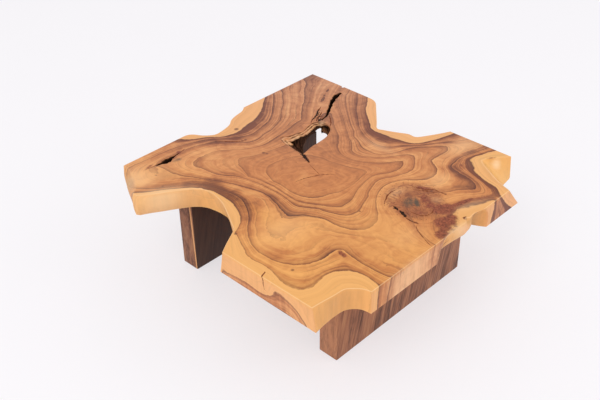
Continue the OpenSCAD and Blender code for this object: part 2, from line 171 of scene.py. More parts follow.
# Growth lines on the top: a ring number, then points [u, v]. Ring 0 is the edge of the sapwood.
TOP_RINGS = [
    (0, [20, 1300], [60, 1262], [100, 1240], [150, 1205], [200, 1165], [240, 1130], [260, 1100],
     [275, 1065], [290, 1030], [292, 980], [290, 940], [285, 890], [262, 830], [235, 780], [200, 745],
     [160, 722], [130, 715]),
    (0, [115, 670], [100, 640], [80, 590], [60, 560], [52, 500], [60, 460], [62, 440], [55, 400],
     [45, 360], [32, 310], [30, 270], [35, 240], [50, 215], [75, 202], [110, 197], [150, 203],
     [190, 207], [225, 205], [240, 185], [260, 170], [290, 140], [300, 110], [300, 60], [292, 0]),
    (0, [480, 1545], [500, 1530], [530, 1490], [560, 1465], [600, 1445], [625, 1420], [645, 1395],
     [670, 1380], [700, 1370], [740, 1360], [785, 1365], [820, 1375], [860, 1385], [900, 1392],
     [930, 1400], [950, 1410], [1000, 1440], [1050, 1475], [1100, 1515], [1140, 1545]),
    (0, [1525, 1110], [1480, 1075], [1420, 1035], [1380, 1000], [1340, 955], [1310, 915], [1285, 890],
     [1264, 870], [1256, 840], [1256, 790], [1258, 750], [1264, 710], [1272, 680],
     [1276, 640], [1284, 612], [1305, 588], [1340, 568], [1395, 545], [1450, 528], [1525, 512]),
    (0, [1525, 250], [1470, 275], [1430, 285], [1400, 300], [1350, 300], [1345, 280], [1320, 255],
     [1305, 235], [1285, 230], [1275, 195], [1255, 160], [1245, 110], [1235, 60], [1210, 30], [1190, 0]),
    (0, [740, 5], [780, 20], [850, 30], [890, 40], [905, 70], [940, 85], [970, 90], [1000, 70],
     [1040, 55], [1060, 40], [1100, 15], [1140, 5]),
    (1, [50, 1318], [90, 1275], [120, 1243], [150, 1222], [190, 1195], [230, 1165], [280, 1120],
     [310, 1060], [325, 1000], [338, 950], [335, 900], [325, 860], [305, 820], [280, 780], [240, 735],
     [190, 690], [150, 640], [125, 600], [112, 560], [105, 520], [110, 450], [120, 400], [145, 355],
     [175, 325], [205, 310], [240, 295], [280, 285], [330, 290], [360, 278], [366, 250], [354, 215],
     [352, 150], [350, 60], [362, 0]),
    (0.5, [318, 220], [326, 150], [328, 100], [322, 50], [326, 0]),
    (1.35, [430, 0], [420, 100], [425, 200], [440, 300]),
    (1.6, [520, 0], [515, 100], [520, 200]),
    (1.75, [620, 0], [620, 100], [650, 220], [700, 300]),
    (1, [120, 1500], [250, 1495], [350, 1490], [430, 1482], [520, 1455], [580, 1430], [620, 1405],
     [655, 1372], [700, 1335], [760, 1300], [800, 1290], [850, 1300], [900, 1315], [950, 1325],
     [1010, 1365], [1060, 1410], [1110, 1455], [1160, 1500], [1195, 1545]),
    (1, [1525, 290], [1450, 310], [1400, 325], [1350, 345], [1310, 345], [1280, 335], [1245, 335],
     [1228, 300], [1222, 260], [1220, 220], [1200, 160], [1160, 120]),
    (1.5, [1525, 345], [1400, 370], [1300, 378], [1240, 368], [1215, 350], [1190, 310], [1150, 275],
     [1110, 262], [1070, 272], [1035, 305], [1015, 330]),
    (2, [200, 1420], [235, 1418], [262, 1432], [330, 1440], [420, 1432], [500, 1415], [560, 1395],
     [600, 1380], [640, 1335], [665, 1305], [690, 1275], [720, 1240], [760, 1230], [800, 1235],
     [830, 1248], [890, 1250], [960, 1275], [1000, 1290], [1070, 1350], [1130, 1400], [1180, 1450],
     [1230, 1500], [1250, 1540]),
    (2, [245, 1395], [248, 1340], [258, 1290], [275, 1245], [300, 1200], [330, 1140], [350, 1100],
     [375, 1060], [395, 1000], [420, 920], [440, 850], [438, 800], [425, 750], [410, 700], [400, 665],
     [393, 640], [390, 620], [400, 605], [440, 580], [455, 550], [480, 500], [485, 450], [490, 400],
     [500, 350], [525, 315], [550, 300], [590, 292], [620, 293], [650, 305], [680, 330], [710, 365],
     [740, 395], [780, 425], [830, 450], [880, 460], [930, 455], [960, 440], [1000, 410], [1030, 370],
     [1060, 345], [1100, 340], [1140, 345], [1180, 370], [1200, 400], [1210, 425], [1230, 440],
     [1260, 435], [1310, 428], [1350, 432], [1375, 445], [1385, 460], [1375, 480], [1350, 505],
     [1325, 525], [1300, 550], [1270, 575], [1220, 600], [1180, 608], [1140, 625], [1100, 655],
     [1080, 680], [1080, 720], [1083, 760], [1095, 795], [1115, 825], [1140, 880], [1180, 910]),
    (3, [460, 1305], [420, 1308], [390, 1305], [375, 1290], [370, 1260], [385, 1230], [388, 1180],
     [392, 1140], [415, 1095], [450, 1050], [470, 1000], [478, 950], [485, 900], [485, 830], [490, 800],
     [485, 740], [478, 700], [468, 650], [490, 610], [510, 580], [525, 560], [530, 520], [560, 445],
     [580, 425], [600, 415], [640, 412], [680, 430], [720, 445], [760, 455], [785, 480], [820, 492],
     [850, 502], [890, 515], [930, 505], [970, 480], [1040, 455], [1100, 450], [1130, 470],
     [1170, 500], [1205, 530], [1190, 560], [1150, 590], [1095, 625], [1055, 665], [1030, 700],
     [1020, 715], [1010, 750], [1020, 790], [1050, 810], [1100, 860]),
    (4, [490, 1000], [505, 960], [510, 900], [515, 850], [508, 800], [505, 750], [500, 700],
     [508, 660], [535, 600], [570, 540], [592, 510], [610, 490], [690, 500], [740, 520], [790, 540],
     [830, 550], [900, 560], [950, 545], [975, 520], [1010, 505], [1050, 500], [1090, 510], [1120, 535]),
    (5, [545, 880], [548, 830], [540, 780], [535, 740], [545, 690], [560, 650], [600, 620], [660, 600],
     [700, 580], [780, 575], [860, 590], [920, 600]),
    (4, [525, 1080], [530, 1110], [545, 1135], [565, 1150], [585, 1160]),
    (3, [1080, 1210], [1170, 1290], [1250, 1350], [1330, 1420], [1400, 1480], [1450, 1540]),
    (3.5, [1200, 1250], [1300, 1320], [1400, 1390], [1525, 1450]),
    (4, [1300, 1270], [1400, 1315], [1525, 1370]),
    (1, [1525, 1180], [1460, 1130], [1400, 1085], [1340, 1030], [1290, 975], [1240, 930], [1215, 900]),
    (2, [1525, 1240], [1450, 1210], [1380, 1150], [1300, 1060], [1230, 980], [1190, 925]),
    (3, [1400, 1225], [1330, 1150], [1250, 1050], [1180, 970], [1125, 900]),
    (4, [1240, 1130], [1150, 1020], [1080, 930]),
]
# Growth lines on the left sawn end: a ring number, then points [v, z]
LEFT_FACE_RINGS = [
    (0, [660, 44], [635, 17], [602, 21], [548, 34], [503, 37], [458, 34], [421, 27],
     [383, 32], [339, 49], [330, 55]),
    (0, [329, 83], [289, 92], [254, 85], [219, 73], [190, 57], [162, 30], [139, 5]),
    (1, [600, 1], [503, 3], [400, 3], [300, 7], [230, 3]),
]
# Growth lines on the front sawn side: a ring number, then points [u, z]
FRONT_FACE_RINGS = [
    (0, [290, 125], [284, 65], [280, 0]),
    (0.5, [326, 125], [318, 65], [314, 0]),
    (1, [362, 125], [352, 65], [344, 0]),
    (1.35, [430, 125], [426, 65], [424, 0]),
    (1.6, [520, 125], [520, 0]),
    (1.75, [620, 125], [624, 0]),
    (0, [696, 0], [700, 28], [712, 56], [726, 82], [745, 110], [779, 117], [820, 109]),
    (0, [1133, 125], [1136, 79], [1119, 36], [1113, 3]),
    (0, [1185, 122], [1228, 72], [1267, 32], [1304, -2]),
    (0.8, [1160, 115], [1172, 75], [1190, 35], [1200, 5]),
]
# How dark the heartwood of the left sawn end is, as [v, shade], and of the front sawn side, as [u, shade]
LEFT_FACE_TONES = [[0, 0.25], [210, 0.25], [280, 0.62], [420, 0.67], [560, 0.61], [600, 0.43], [660, 0.32]]
FRONT_FACE_TONES = [[250, 0.6], [330, 0.5], [390, 0.12], [560, 0.0], [650, 0.42], [760, 0.6], [1060, 1.0],
                    [1300, 0.9]]

# How far outside the sapwood's edge the live edge itself is, in ring numbers
BARK_RING = -0.7
# Distances between the guide points along a growth line, and along a live edge
GUIDE_GAP, EDGE_GUIDE_GAP = 26, 45

# How near to a sawn side the wood has that side's own tones, and the square of the distance within
# which a spot below has about its full weight
CUT_REACH = 8
TONE_AREA = 600

# How the heartwood looks at [u, v]: its shade, from 0, golden, to 1.2, dark brown, and how bold
# its growth lines are
TONES = [
    [60, 1430, 0.2, 0.2], [100, 1350, 0, 0.04], [150, 1400, 0, 0.04], [190, 1375, 0.05, 0.04],
    [200, 1480, 0.2, 0.3], [120, 1500, 0.3, 0.4], [350, 1510, 0.62, 0.5], [440, 1490, 0.6, 0.6],
    [230, 1340, 0.12, 0.3], [330, 1340, 0.3, 0.3], [330, 1440, 0.45, 0.3], [450, 1350, 0.35, 0.3],
    [520, 1290, 0.32, 0.1], [520, 1390, 0.4, 0.4], [60, 1275, 0.72, 1], [140, 1225, 0.74, 1],
    [250, 1140, 0.95, 1], [303, 1060, 1.12, 1], [318, 950, 1.1, 1], [312, 1000, 1.12, 1],
    [308, 900, 1.0, 1], [303, 860, 0.85, 1], [285, 815, 0.85, 0.9], [245, 760, 0.7, 0.8],
    [180, 700, 0.5, 0.5], [120, 640, 0.28, 0.4], [80, 560, 0.28, 0.4], [80, 480, 0.28, 0.4],
    [145, 450, 0.7, 0.5], [130, 400, 0.2, 0.5], [160, 300, 0.3, 0.5], [90, 260, 0.22, 0.5],
    [220, 255, 0.25, 0.5], [300, 280, 0.4, 0.9], [340, 200, 0.45, 0.7], [340, 90, 0.4, 0.6],
    [420, 290, 0.42, 0.1], [450, 150, 0.3, 0.1], [600, 150, 0.28, 0.1], [560, 400, 0.3, 0.3],
    [500, 250, 0.3, 0.25], [650, 240, 0.27, 0.12], [870, 375, 0.2, 0.2], [805, 215, 0.8, 0.3],
    [800, 280, 0.5, 0.3], [340, 700, 0.12, 0.1], [300, 600, 0.06, 0.08], [400, 500, 0.12, 0.08],
    [290, 480, 0.1, 0.08], [200, 560, 0.15, 0.35], [560, 1440, 0.7, 0.9], [500, 1500, 0.8, 1],
    [600, 1400, 0.85, 1], [640, 1340, 0.75, 0.8], [700, 1340, 1.1, 1], [760, 1340, 1.25, 1],
    [850, 1345, 1.15, 1], [940, 1365, 0.95, 1], [1035, 1425, 0.85, 0.9], [1130, 1510, 0.75, 0.9],
    [760, 1275, 0.5, 0.5], [850, 1285, 0.55, 0.5], [950, 1320, 0.55, 0.6], [700, 1240, 0.5, 0.8],
    [760, 1235, 0.5, 0.9], [850, 1240, 0.5, 0.7], [930, 1265, 0.5, 0.6], [620, 1220, 0.42, 0.05],
    [700, 1170, 0.5, 0.1], [560, 1180, 0.44, 0.15], [420, 1200, 0.32, 0.4], [350, 1200, 0.25, 0.5],
    [300, 1290, 0.15, 0.4], [380, 1000, 0.25, 0.6], [390, 900, 0.25, 0.4], [445, 900, 0.45, 0.9],
    [465, 800, 0.6, 1], [445, 700, 0.5, 0.9], [425, 640, 0.5, 0.9], [485, 600, 0.5, 0.9],
    [510, 520, 0.4, 0.7], [500, 700, 0.5, 0.5], [530, 800, 0.5, 0.4], [600, 490, 0.42, 0.6],
    [700, 430, 0.4, 0.5], [760, 480, 0.45, 0.5], [850, 500, 0.42, 0.5], [950, 480, 0.4, 0.5],
    [700, 720, 0.66, 0], [620, 860, 0.64, 0], [540, 960, 0.56, 0.25], [600, 1010, 0.66, 0],
    [800, 800, 0.66, 0], [900, 800, 0.72, 0.05], [930, 950, 0.74, 0.15], [750, 1000, 0.66, 0.05],
    [760, 610, 0.58, 0.1], [900, 630, 0.6, 0.15], [1000, 700, 0.55, 0.25], [1000, 570, 0.42, 0.5],
    [1100, 560, 0.35, 0.5], [1050, 400, 0.28, 0.6], [1100, 300, 0.15, 0.4], [1150, 200, 0.5, 0.5],
    [1060, 210, 0.4, 0.3], [1135, 720, 0.28, 0.35], [1095, 800, 0.5, 0.7], [1170, 810, 0.5, 0.4],
    [1180, 640, 0.38, 0.5], [1060, 860, 0.65, 0.4], [1240, 760, 1.3, 0.9], [1238, 830, 1.2, 0.9],
    [1250, 700, 1.0, 0.9], [1270, 620, 0.85, 0.9], [1330, 565, 0.85, 0.9], [1430, 515, 0.85, 0.9],
    [1510, 500, 0.85, 0.9], [1290, 905, 0.95, 0.9], [1350, 985, 0.85, 0.7], [1420, 1050, 0.75, 0.7],
    [1500, 1115, 0.7, 0.6], [1200, 910, 0.65, 0.5], [1150, 1000, 0.55, 0.3], [1250, 1050, 0.7, 0.4],
    [1350, 1130, 0.72, 0.4], [1450, 1180, 0.68, 0.4], [1330, 1190, 0.62, 0.4], [1470, 410, 0.15, 0.15],
    [1390, 420, 0.25, 0.4], [1310, 460, 0.35, 0.5], [1350, 385, 0.28, 0.4], [1480, 345, 0.3, 0.5],
    [1500, 285, 0.7, 0.8], [1420, 305, 0.75, 0.9], [1330, 325, 0.85, 1], [1255, 300, 0.97, 0.9],
    [1240, 220, 0.97, 0.9], [1220, 120, 0.85, 0.8], [1170, 60, 0.7, 0.7], [1100, 60, 0.6, 0.6],
    [1250, 400, 0.32, 0.5], [1210, 500, 0.35, 0.5], [1330, 500, 0.45, 0.6], [1100, 1330, 0.5, 0.5],
    [1000, 1340, 0.6, 0.6], [1050, 1250, 0.58, 0.5], [1000, 1180, 0.75, 0.5], [900, 1180, 0.68, 0.4],
    [1150, 1230, 0.65, 0.6], [1250, 1300, 0.6, 0.6], [1350, 1450, 0.6, 0.6], [1200, 1430, 0.5, 0.6],
    [1450, 1350, 0.6, 0.6], [1480, 1500, 0.75, 0.7], [1290, 1520, 0.62, 0.7], [1450, 1260, 0.65, 0.3],
]
# Red brown stains round the burl, painted shade in the crease under the right end's rim, and the
# burl's grey green core: [u, v, half length, half width, turn in degrees, strength]
STAINS_AND_SHADE = [
    [925, 245, 66, 34, 60, 0.68], [990, 320, 46, 16, -60, 0.75], [785, 345, 22, 40, -25, 0.3],
    [900, 200, 34, 26, 0, 0.85], [914, 116, 34, 16, -30, 1.4], [822, 196, 44, 16, -35, 0.5],
    [890, 160, 40, 14, 60, 0.75], [917, 136, 56, 40, -35, 1.3], [1010, 107, 90, 15, -15, 1.1],
    [840, 72, 52, 38, -20, 1.3], [885, 70, 26, 30, 0, 1.1], [755, 25, 36, 34, 0, 1.0],
    # The last entry on the next line is painted shade in the crease under the right end's rim
    [800, 40, 34, 24, 0, 1.1], [1120, 60, 90, 22, -25, 0.45], [1444, 231, 34, 6, -37, 0.62],
    [345, 255, 14, 34, -15, 0.9], [660, 1312, 14, 70, 41, 0.42], [325, 1414, 90, 20, 0, 0.7],
    [407, 1431, 14, 16, 0, 0.85], [812, 915, 12, 44, -30, 0.7], [212, 1430, 34, 12, 15, 0.6],
    [1282, 300, 22, 12, 40, 0.6],
]
CORES = [
    [852, 290, 58, 42, 20, 0.68], [874, 260, 44, 13, 48, 1.05], [358, 1378, 36, 20, -20, 0.62],
]
# Painted shade on the walls of the live edges, pinker parts of the sides, yellower wood, and paler wood
# with painted light and highlights, in the same way
PAINTED_SHADES = [
    [120, 80, 110, 50, 0, 0.5], [955, 20, 60, 60, 0, 0.95], [230, 960, 60, 160, 0, 0.12],
    [1048, 58, 30, 30, 0, 1.3], [75, 1410, 50, 90, 20, 1.15], [240, 1500, 90, 40, -20, 0.2],
]
PINKS = [[1000, 1080, 240, 240, 0, 0.55], [70, 1390, 50, 90, 20, 0.85]]
YELLOWS = [[1445, 190, 95, 75, -37, 0.75], [312, 930, 40, 200, 0, 0.35]]
PALES_AND_HIGHLIGHTS = [
    [100, 1395, 90, 110, 0, 0.4], [110, 1170, 130, 60, -38, 1.0], [1450, 405, 110, 60, 0, 0.3],
    [1105, 300, 70, 45, 0, 0.22], [1150, 720, 30, 90, 0, 0.25], [880, 385, 42, 26, -20, 0.22],
    # On the next line, the last two entries are painted light on the right end's facet and a painted
    # highlight under its rim
    [1030, 65, 110, 26, -20, 0.3], [1445, 180, 95, 50, -37, 0.45], [1456, 204, 24, 12, -37, 1.6],
    [640, 130, 90, 60, 0, 0.1], [300, 560, 110, 80, 0, 0.15], [858, 378, 34, 18, -20, 0.16],
    # On the next line, the last two entries are painted highlights on the hole's torn back rim
    [952, 208, 24, 30, 20, 0.2], [1115, 1098, 28, 20, 0, 0.7], [930, 1102, 40, 10, 0, 0.4],
    [490, -10, 110, 22, 0, 0.25], [234, 1040, 32, 100, 0, 0.6], [825, -10, 75, 24, 0, 1.1],
]
# The burl's oval: middle [u, v], half length and half width
BURL = [885, 285, 150, 155]

# Fine dark checks in the top: half width, then points [u, v]
CHECKS = [
    (2.6, [612, 800], [640, 795], [670, 788], [700, 775], [740, 755], [780, 725], [800, 700]),
    (1.4, [779, 863], [759, 803], [742, 754]),
    (9.0, [862, 1035], [840, 985], [822, 945], [808, 910], [788, 868]),
    (3.4, [1130, 1040], [1162, 1062], [1192, 1094], [1220, 1130]),
    (7.0, [778, 322], [771, 300], [766, 280]), (8.5, [770, 284], [763, 258], [746, 222]),
    (4.2, [744, 222], [740, 189], [746, 148]),
    (3.2, [755, 360], [775, 372], [792, 381], [831, 400], [862, 404], [892, 398]),
    (3.2, [968, 367], [976, 335], [988, 302], [1018, 268], [1021, 234], [1022, 194]),
    (2.6, [948, 348], [962, 315], [988, 275], [1003, 240]),
    (2.4, [796, 238], [797, 214], [803, 184], [820, 163], [855, 157], [887, 170]),
    (2.0, [728, 150], [704, 127], [683, 83], [663, 40], [650, 4]),
    (5.0, [1085, 1140], [1112, 1156], [1171, 1178], [1215, 1206], [1262, 1228]),
    (4.4, [1118, 1132], [1150, 1150], [1190, 1166], [1225, 1186]),
    (5.5, [1120, 1122], [1142, 1128], [1165, 1140]),
    (3.4, [1160, 1166], [1176, 1150], [1184, 1136]),
    (3.2, [915, 20], [925, 30], [940, 26]),
    (3.0, [604, 1386], [626, 1360], [645, 1334], [668, 1308], [692, 1284], [728, 1262]),
    (2.0, [400, 1424], [430, 1428], [455, 1436]),
    (2.0, [190, 1424], [220, 1420], [250, 1416]),
]
# The check in the left sawn end: how far along it, from the top's edge inwards or downwards, and v
LEFT_CHECK = [[-36, 411], [0, 400], [11, 391], [31, 392], [56, 387], [76, 382]]
LEFT_CHECK_HALF = 2.6
# The distance to a check that is given where none is nearer
NO_CHECK = 60.0
# Small knots and specks: [u, v, radius]
KNOTS = [
    [770, 1388, 13], [612, 1373, 8], [665, 1305, 8], [707, 1275, 8], [728, 1272, 8], [205, 1015, 8],
    [700, 1108, 9], [705, 1088, 7], [120, 335, 8], [130, 700, 8], [640, 408, 6], [745, 165, 8],
    [770, 205, 6], [1000, 268, 8], [1024, 205, 7], [876, 303, 6], [925, 24, 10], [152, 1243, 6],
]

# The photograph's view: the camera's place in metres, and its turns in degrees
CAMERA_AT = (-2.1321, -1.9727, 2.3070)
CAMERA_YAW = 45.63
CAMERA_PITCH = 34.38
CAMERA_ROLL = -0.83
CAMERA_LENS = 53.256
# Each softbox: the setting that gives its power, its side and its place in metres, and what all of
# them shine at
SOFTBOXES = {"key": (3.8, (-5.2, -1.0, 5.4)), "fill": (3.4, (3.2, -4.6, 3.6))}
LIT_POINT = (0.0, 0.0, 0.2)
# Half the floor's side in metres, and how much of what is seen of it is its plain colour
FLOOR_REACH = 60.0
FLOOR_PLAIN = 0.62

SEED = 7


def linear(code):
    """An sRGB hex colour as linear red, green, blue and an alpha of 1."""
    parts = [int(code[i:i + 2], 16) / 255 for i in (1, 3, 5)]
    return [c / 12.92 if c <= 0.04045 else ((c + 0.055) / 1.055) ** 2.4 for c in parts] + [1.0]


def smooth_run(stations, steps):
    """A Catmull-Rom curve: half of 2b + (c - a)t + (2a - 5b + 4c - d)t2 + (3b - a - 3c + d)t3."""
    p = np.array(stations, float)
    if len(p) < 3:
        return p
    i = np.arange(len(p) - 1)
    a, b, c, d = (p[k][:, None, :] for k in (np.maximum(i - 1, 0), i, i + 1, np.minimum(i + 2, len(p) - 1)))
    t = (np.arange(steps) / steps)[None, :, None]
    q = 0.5 * (2 * b + (c - a) * t + (2 * a - 5 * b + 4 * c - d) * t ** 2 + (3 * b - a - 3 * c + d) * t ** 3)
    return np.vstack([q.reshape(-1, p.shape[1]), p[-1:]])


def even(points, gap):
    """The same line with its points about one gap apart, measured along u and v. It keeps both ends."""
    p = np.array(points, float)
    along = np.concatenate([[0], np.hypot(*np.diff(p[:, :2], axis=0).T).cumsum()])
    places = np.linspace(0, along[-1], max(2, math.ceil(along[-1] / gap) + 1))
    return np.stack([np.interp(places, along, column) for column in p.T], 1)


def in_parts(function, points, size=4000):
    """function of the points, worked out some thousands at a time to save memory."""
    return np.concatenate([function(part) for part in np.array_split(points, max(1, len(points) // size))])


def inside(points, ring):
    """Whether each point lies in a closed ring: a line drawn from it to one side crosses it an odd
    number of times."""
    a, b = ring, np.roll(ring, -1, 0)
    rise = np.where(a[:, 1] == b[:, 1], 1, b[:, 1] - a[:, 1])

    def odd(part):
        x, y = part[:, :1], part[:, 1:2]
        crossed = (a[:, 1] > y) != (b[:, 1] > y)
        at = a[:, 0] + (y - a[:, 1]) * (b[:, 0] - a[:, 0]) / rise
        return (crossed & (x < at)).sum(1) % 2 == 1
    return in_parts(odd, points)


def nearest(points, others):
    """Distance from each point to the nearest of some others."""
    def least(part):
        return np.hypot(part[:, :1] - others[:, 0], part[:, 1:2] - others[:, 1]).min(1)
    return in_parts(least, points)


def ripple(seed, *lengths):
    """A smooth random function of one or more lengths, between about -1 and 1: a sum
    of sines, each running its own way with its own wavelength and start."""
    rng = np.random.default_rng(seed)
    total = 0
    for wavelength, share in ((170, 0.5), (95, 0.35), (52, 0.25), (28, 0.15)):
        way = rng.normal(size=len(lengths))
        way = way / np.linalg.norm(way)
        phase = rng.uniform(0, 2 * math.pi)
        along = sum(w * length for w, length in zip(way, lengths))
        total = total + share * np.sin(2 * math.pi / wavelength * along + phase)
    return total


def step(low, high, value):
    """A smooth step: 0 below low, 1 above high, and 3t2 - 2t3 between."""
    t = np.clip((value - low) / (high - low), 0, 1)
    return t * t * (3 - 2 * t)


def slab_outline(gap):
    """The top outline as rows of [u, v, four shifts, edge radius, how live it is]. The runs are
    smoothed, and the saw cuts between them are straight."""
    runs = []
    for stations, radii in EDGE_RUNS:
        radius = np.array(radii if len(radii) > 1 else radii * len(stations), float)[:, None]
        live = np.ones((len(stations), 1))
        live[[0, -1]] = 0
        runs.append(smooth_run(np.hstack([np.array(stations, float), radius, live]), 12))
    parts = []
    for run, after in zip(runs, runs[1:] + runs[:1]):
        parts.append(even(run, gap) if len(run) > 1 else run)
        parts.append(even([run[-1], after[0]], gap)[1:-1])
    return np.vstack(parts)


def at_level(columns, t):
    """The outline at a share t of the slab's height: a parabola through bottom, middle and top."""
    m = 4 * t * (1 - t)
    b = (2 * t - 1) * (t - 1)
    return columns[:, 0:2] + m[:, None] * columns[:, 2:4] + b[:, None] * columns[:, 4:6]


def inward(ring):
    """Unit vectors to the left of a closed ring's way round, from the points before and after."""
    way = np.roll(ring, -1, 0) - np.roll(ring, 1, 0)
    way = way / np.maximum(np.linalg.norm(way, axis=1, keepdims=True), 1e-6)
    return np.stack([-way[:, 1], way[:, 0]], 1)


def slab_sides(columns, wall_rows):
    """The slab's sides as a grid of rows from the top face down to the underside. A row in the top
    rounding at angle a is r(1 - sin a) in from the edge and r(1 - cos a) down, and the wall runs
    evenly between the two roundings. A wide rounding is flattened to a sloping face."""
    radius = columns[:, 6]
    low_radius = np.minimum(radius, LOW_ROUNDING)
    angles = np.radians([0, 22.5, 45, 67.5, 90])
    normal = inward(columns[:, :2])
    flat = 0.85 * step(8, 20, radius)
    turns = [flat * k / 4 for k in range(5)]
    depth = [radius * ((1 - flat) * (1 - math.cos(a)) + turn) for a, turn in zip(angles, turns)]
    inset = [radius * (1 - (1 - flat) * math.sin(a) - turn) for a, turn in zip(angles, turns)]
    for k in range(1, wall_rows):
        depth.append(radius + k / wall_rows * (SLAB_T - radius - low_radius))
        inset.append(0 * radius)
    depth += [SLAB_T - low_radius * (1 - math.cos(a)) for a in angles[::-1]]
    inset += [low_radius * (1 - math.sin(a)) for a in angles[::-1]]
    along = np.concatenate([[0], np.hypot(*np.diff(columns[:, :2], axis=0).T).cumsum()])
    rows = []
    for d, i in zip(depth, inset):
        place = at_level(columns, 1 - d / SLAB_T)
        wave = EDGE_WAVE * ripple(SEED, along, d) * columns[:, 7] * step(2, 20, d) * step(2, 20, SLAB_T - d)
        place = place + normal * (i + wave + scoop(place, d))[:, None]
        rows.append(np.column_stack([np.clip(place, 0, DRAWN[:2]), SLAB_T - d]))
    return np.array(rows)


def scoop(place, depth):
    """Depth of the small hollow under the rim of the right end: a bell shape round its middle."""
    u, v, middle_depth, reach, drop, deep = SCOOP
    away = np.hypot(*(place - [u, v]).T) / reach
    return deep * np.exp(-away ** 2 - ((depth - middle_depth) / drop) ** 2)


def hole_sides(gap, rows):
    """The natural hole's wall as a grid from the top face down, along straight lines from the top
    rim to the bottom one, and how dark each of its points is, with painted shade deeper down and
    under the ledges, and how much painted highlight it has on the ledges. The front rim is
    rounded, the back one is torn into ledges, and the wall is rough with one lump, a bell shape that
    has less painted shade."""
    closed = np.vstack([HOLE[-1:], HOLE, HOLE[:2]])
    rim = smooth_run(closed, 8)[8:-8 - 1]
    rim = even(np.vstack([rim, rim[:1]]), gap)[:-1]
    away = -inward(rim[:, :2])
    back = step(*HOLE_BACK, rim[:, 1])
    torn = HOLE_TORN * ripple(SEED + 3, *rim[:, :2].T * 3)
    patchy = np.clip(0.7 + 0.75 * ripple(SEED + 5, *rim[:, :2].T * 4), 0.1, 1.25)
    wall_rows = HOLE_ROWS + [(SLAB_T * k / rows, 0, 0, 1.0, 0.0) for k in range(4, rows)]
    wall_rows.append((SLAB_T, 3, 3, 0.6, 0.0))
    lump_u, lump_v, lump_depth, reach, drop, lump = HOLE_LUMP
    grid, dark, worn = [], [], []
    for depth, front_out, back_out, back_dark, back_highlight in wall_rows:
        t = 1 - depth / SLAB_T
        place = rim[:, 2:] + t * (rim[:, :2] - rim[:, 2:])
        ragged = torn * step(0, 4, depth) * step(0, 9, TORN_DEPTH - depth)
        out = front_out + back * (back_out - front_out + ragged)
        rough = (HOLE_ROUGHNESS * ripple(SEED + 1, *place.T, depth * 1.5) * step(22, 40, depth)
                 * step(1, 25, SLAB_T - depth))
        bump = lump * np.exp(-((place[:, 0] - lump_u) ** 2 + (place[:, 1] - lump_v) ** 2) / reach ** 2
                             - ((depth - lump_depth) / drop) ** 2)
        place = place + away * (out + rough - bump)[:, None]
        grid.append(np.insert(place, 2, SLAB_T - depth, axis=1))
        # Painted shade, darker with depth and less on the lump, and painted highlight on the back rim's
        # ledges
        ledge = back_dark * (patchy if depth < 22 else 1)
        dark.append((1 - back) * step(0, 12, depth) + back * ledge - 0.02 * bump)
        worn.append(back * back_highlight * (1.5 - 0.6 * patchy))
    return np.array(grid), np.concatenate(dark), np.concatenate(worn)


def slot_sides(stations, depth, gap, rows):
    """A crack's two walls as a grid from the top down, each row a ring that runs forward along one
    side and back along the other. It narrows with depth, its rim is eased, and its walls are rough
    and lean by a part of a sine wave."""
    line = even(smooth_run(stations, 8), gap)
    way = np.gradient(line[:, :2], axis=0)
    side = np.stack([way[:, 1], -way[:, 0]], 1) / np.linalg.norm(way, axis=1, keepdims=True)
    both = np.vstack([line, line[::-1]])
    out = np.vstack([side, -side[::-1]])
    along = np.concatenate([np.arange(len(line)), np.arange(len(line))[::-1] + 300]) * gap
    ragged = 1.35 + 0.45 * ripple(SEED + 2, along * 3)
    eased = [(0, 2.2), (0.7, 0.7), (2.2, 0)]
    grid = []
    for d, extra in eased + [(2.2 + (depth - 2.2) * k / rows, 0) for k in range(1, rows + 1)]:
        share = 1 - (1 - CRACK_FLOOR) * d / depth
        lean = 5 * math.sin(d / depth * 2.5) * np.vstack([side, side[::-1]])
        half = both[:, 2] * share * ragged + extra
        place = both[:, :2] + out * half[:, None] + lean
        grid.append(np.insert(place, 2, SLAB_T - d, axis=1))
    return np.array(grid)


def fill(rings, gap):
    """Flat triangles between closed rings, the first round the outside and the others round holes,
    with a honeycomb of points about one gap apart between them. Gives the honeycomb's points, and
    triangles that number the rings' points first."""
    edge = np.vstack(rings)
    counts = [len(ring) for ring in rings]
    starts = np.cumsum([0] + counts[:-1])
    bounds = np.vstack([np.stack([np.arange(n), np.roll(np.arange(n), -1)], 1) + start
                        for n, start in zip(counts, starts)])
    low, high = edge.min(0), edge.max(0)
    u, v = np.meshgrid(np.arange(low[0], high[0], gap), np.arange(low[1], high[1], gap * math.sqrt(0.75)))
    u = u + (np.arange(len(u)) % 2)[:, None] * gap / 2
    comb = np.stack([u.ravel(), v.ravel()], 1)

    def within(points):
        keep = inside(points, rings[0])
        for ring in rings[1:]:
            keep &= ~inside(points, ring)
        return keep
    comb = comb[within(comb)]
    comb = comb[nearest(comb, edge) > 0.6 * gap]
    points = np.vstack([edge, comb])
    found = delaunay_2d_cdt(points.tolist(), bounds.tolist(), [], 0, 1e-6)
    if len(found[0]) != len(points):
        raise RuntimeError("the slab's outline crosses itself")
    names = np.array([origins[0] for origins in found[3]])
    triangles = names[np.array(found[2])]
    a, b, c = (points[triangles[:, k]] for k in range(3))
    turned = np.cross(b - a, c - a) < 0
    triangles[turned] = triangles[turned][:, ::-1]
    return comb, triangles[within(points[triangles].mean(1))]


def grid_faces(first, rows, columns, outwards=True):
    """Quads of a grid whose rows are closed rings, numbered row by row from first. With the rings
    running anticlockwise and the rows going down, they face outwards, or else inwards."""
    k, i = np.meshgrid(np.arange(rows - 1), np.arange(columns), indexing="ij")
    j = (i + 1) % columns
    quads = np.stack([k * columns + i, (k + 1) * columns + i, (k + 1) * columns + j, k * columns + j], -1)
    quads = quads.reshape(-1, 4) + first
    return quads if outwards else quads[:, ::-1]


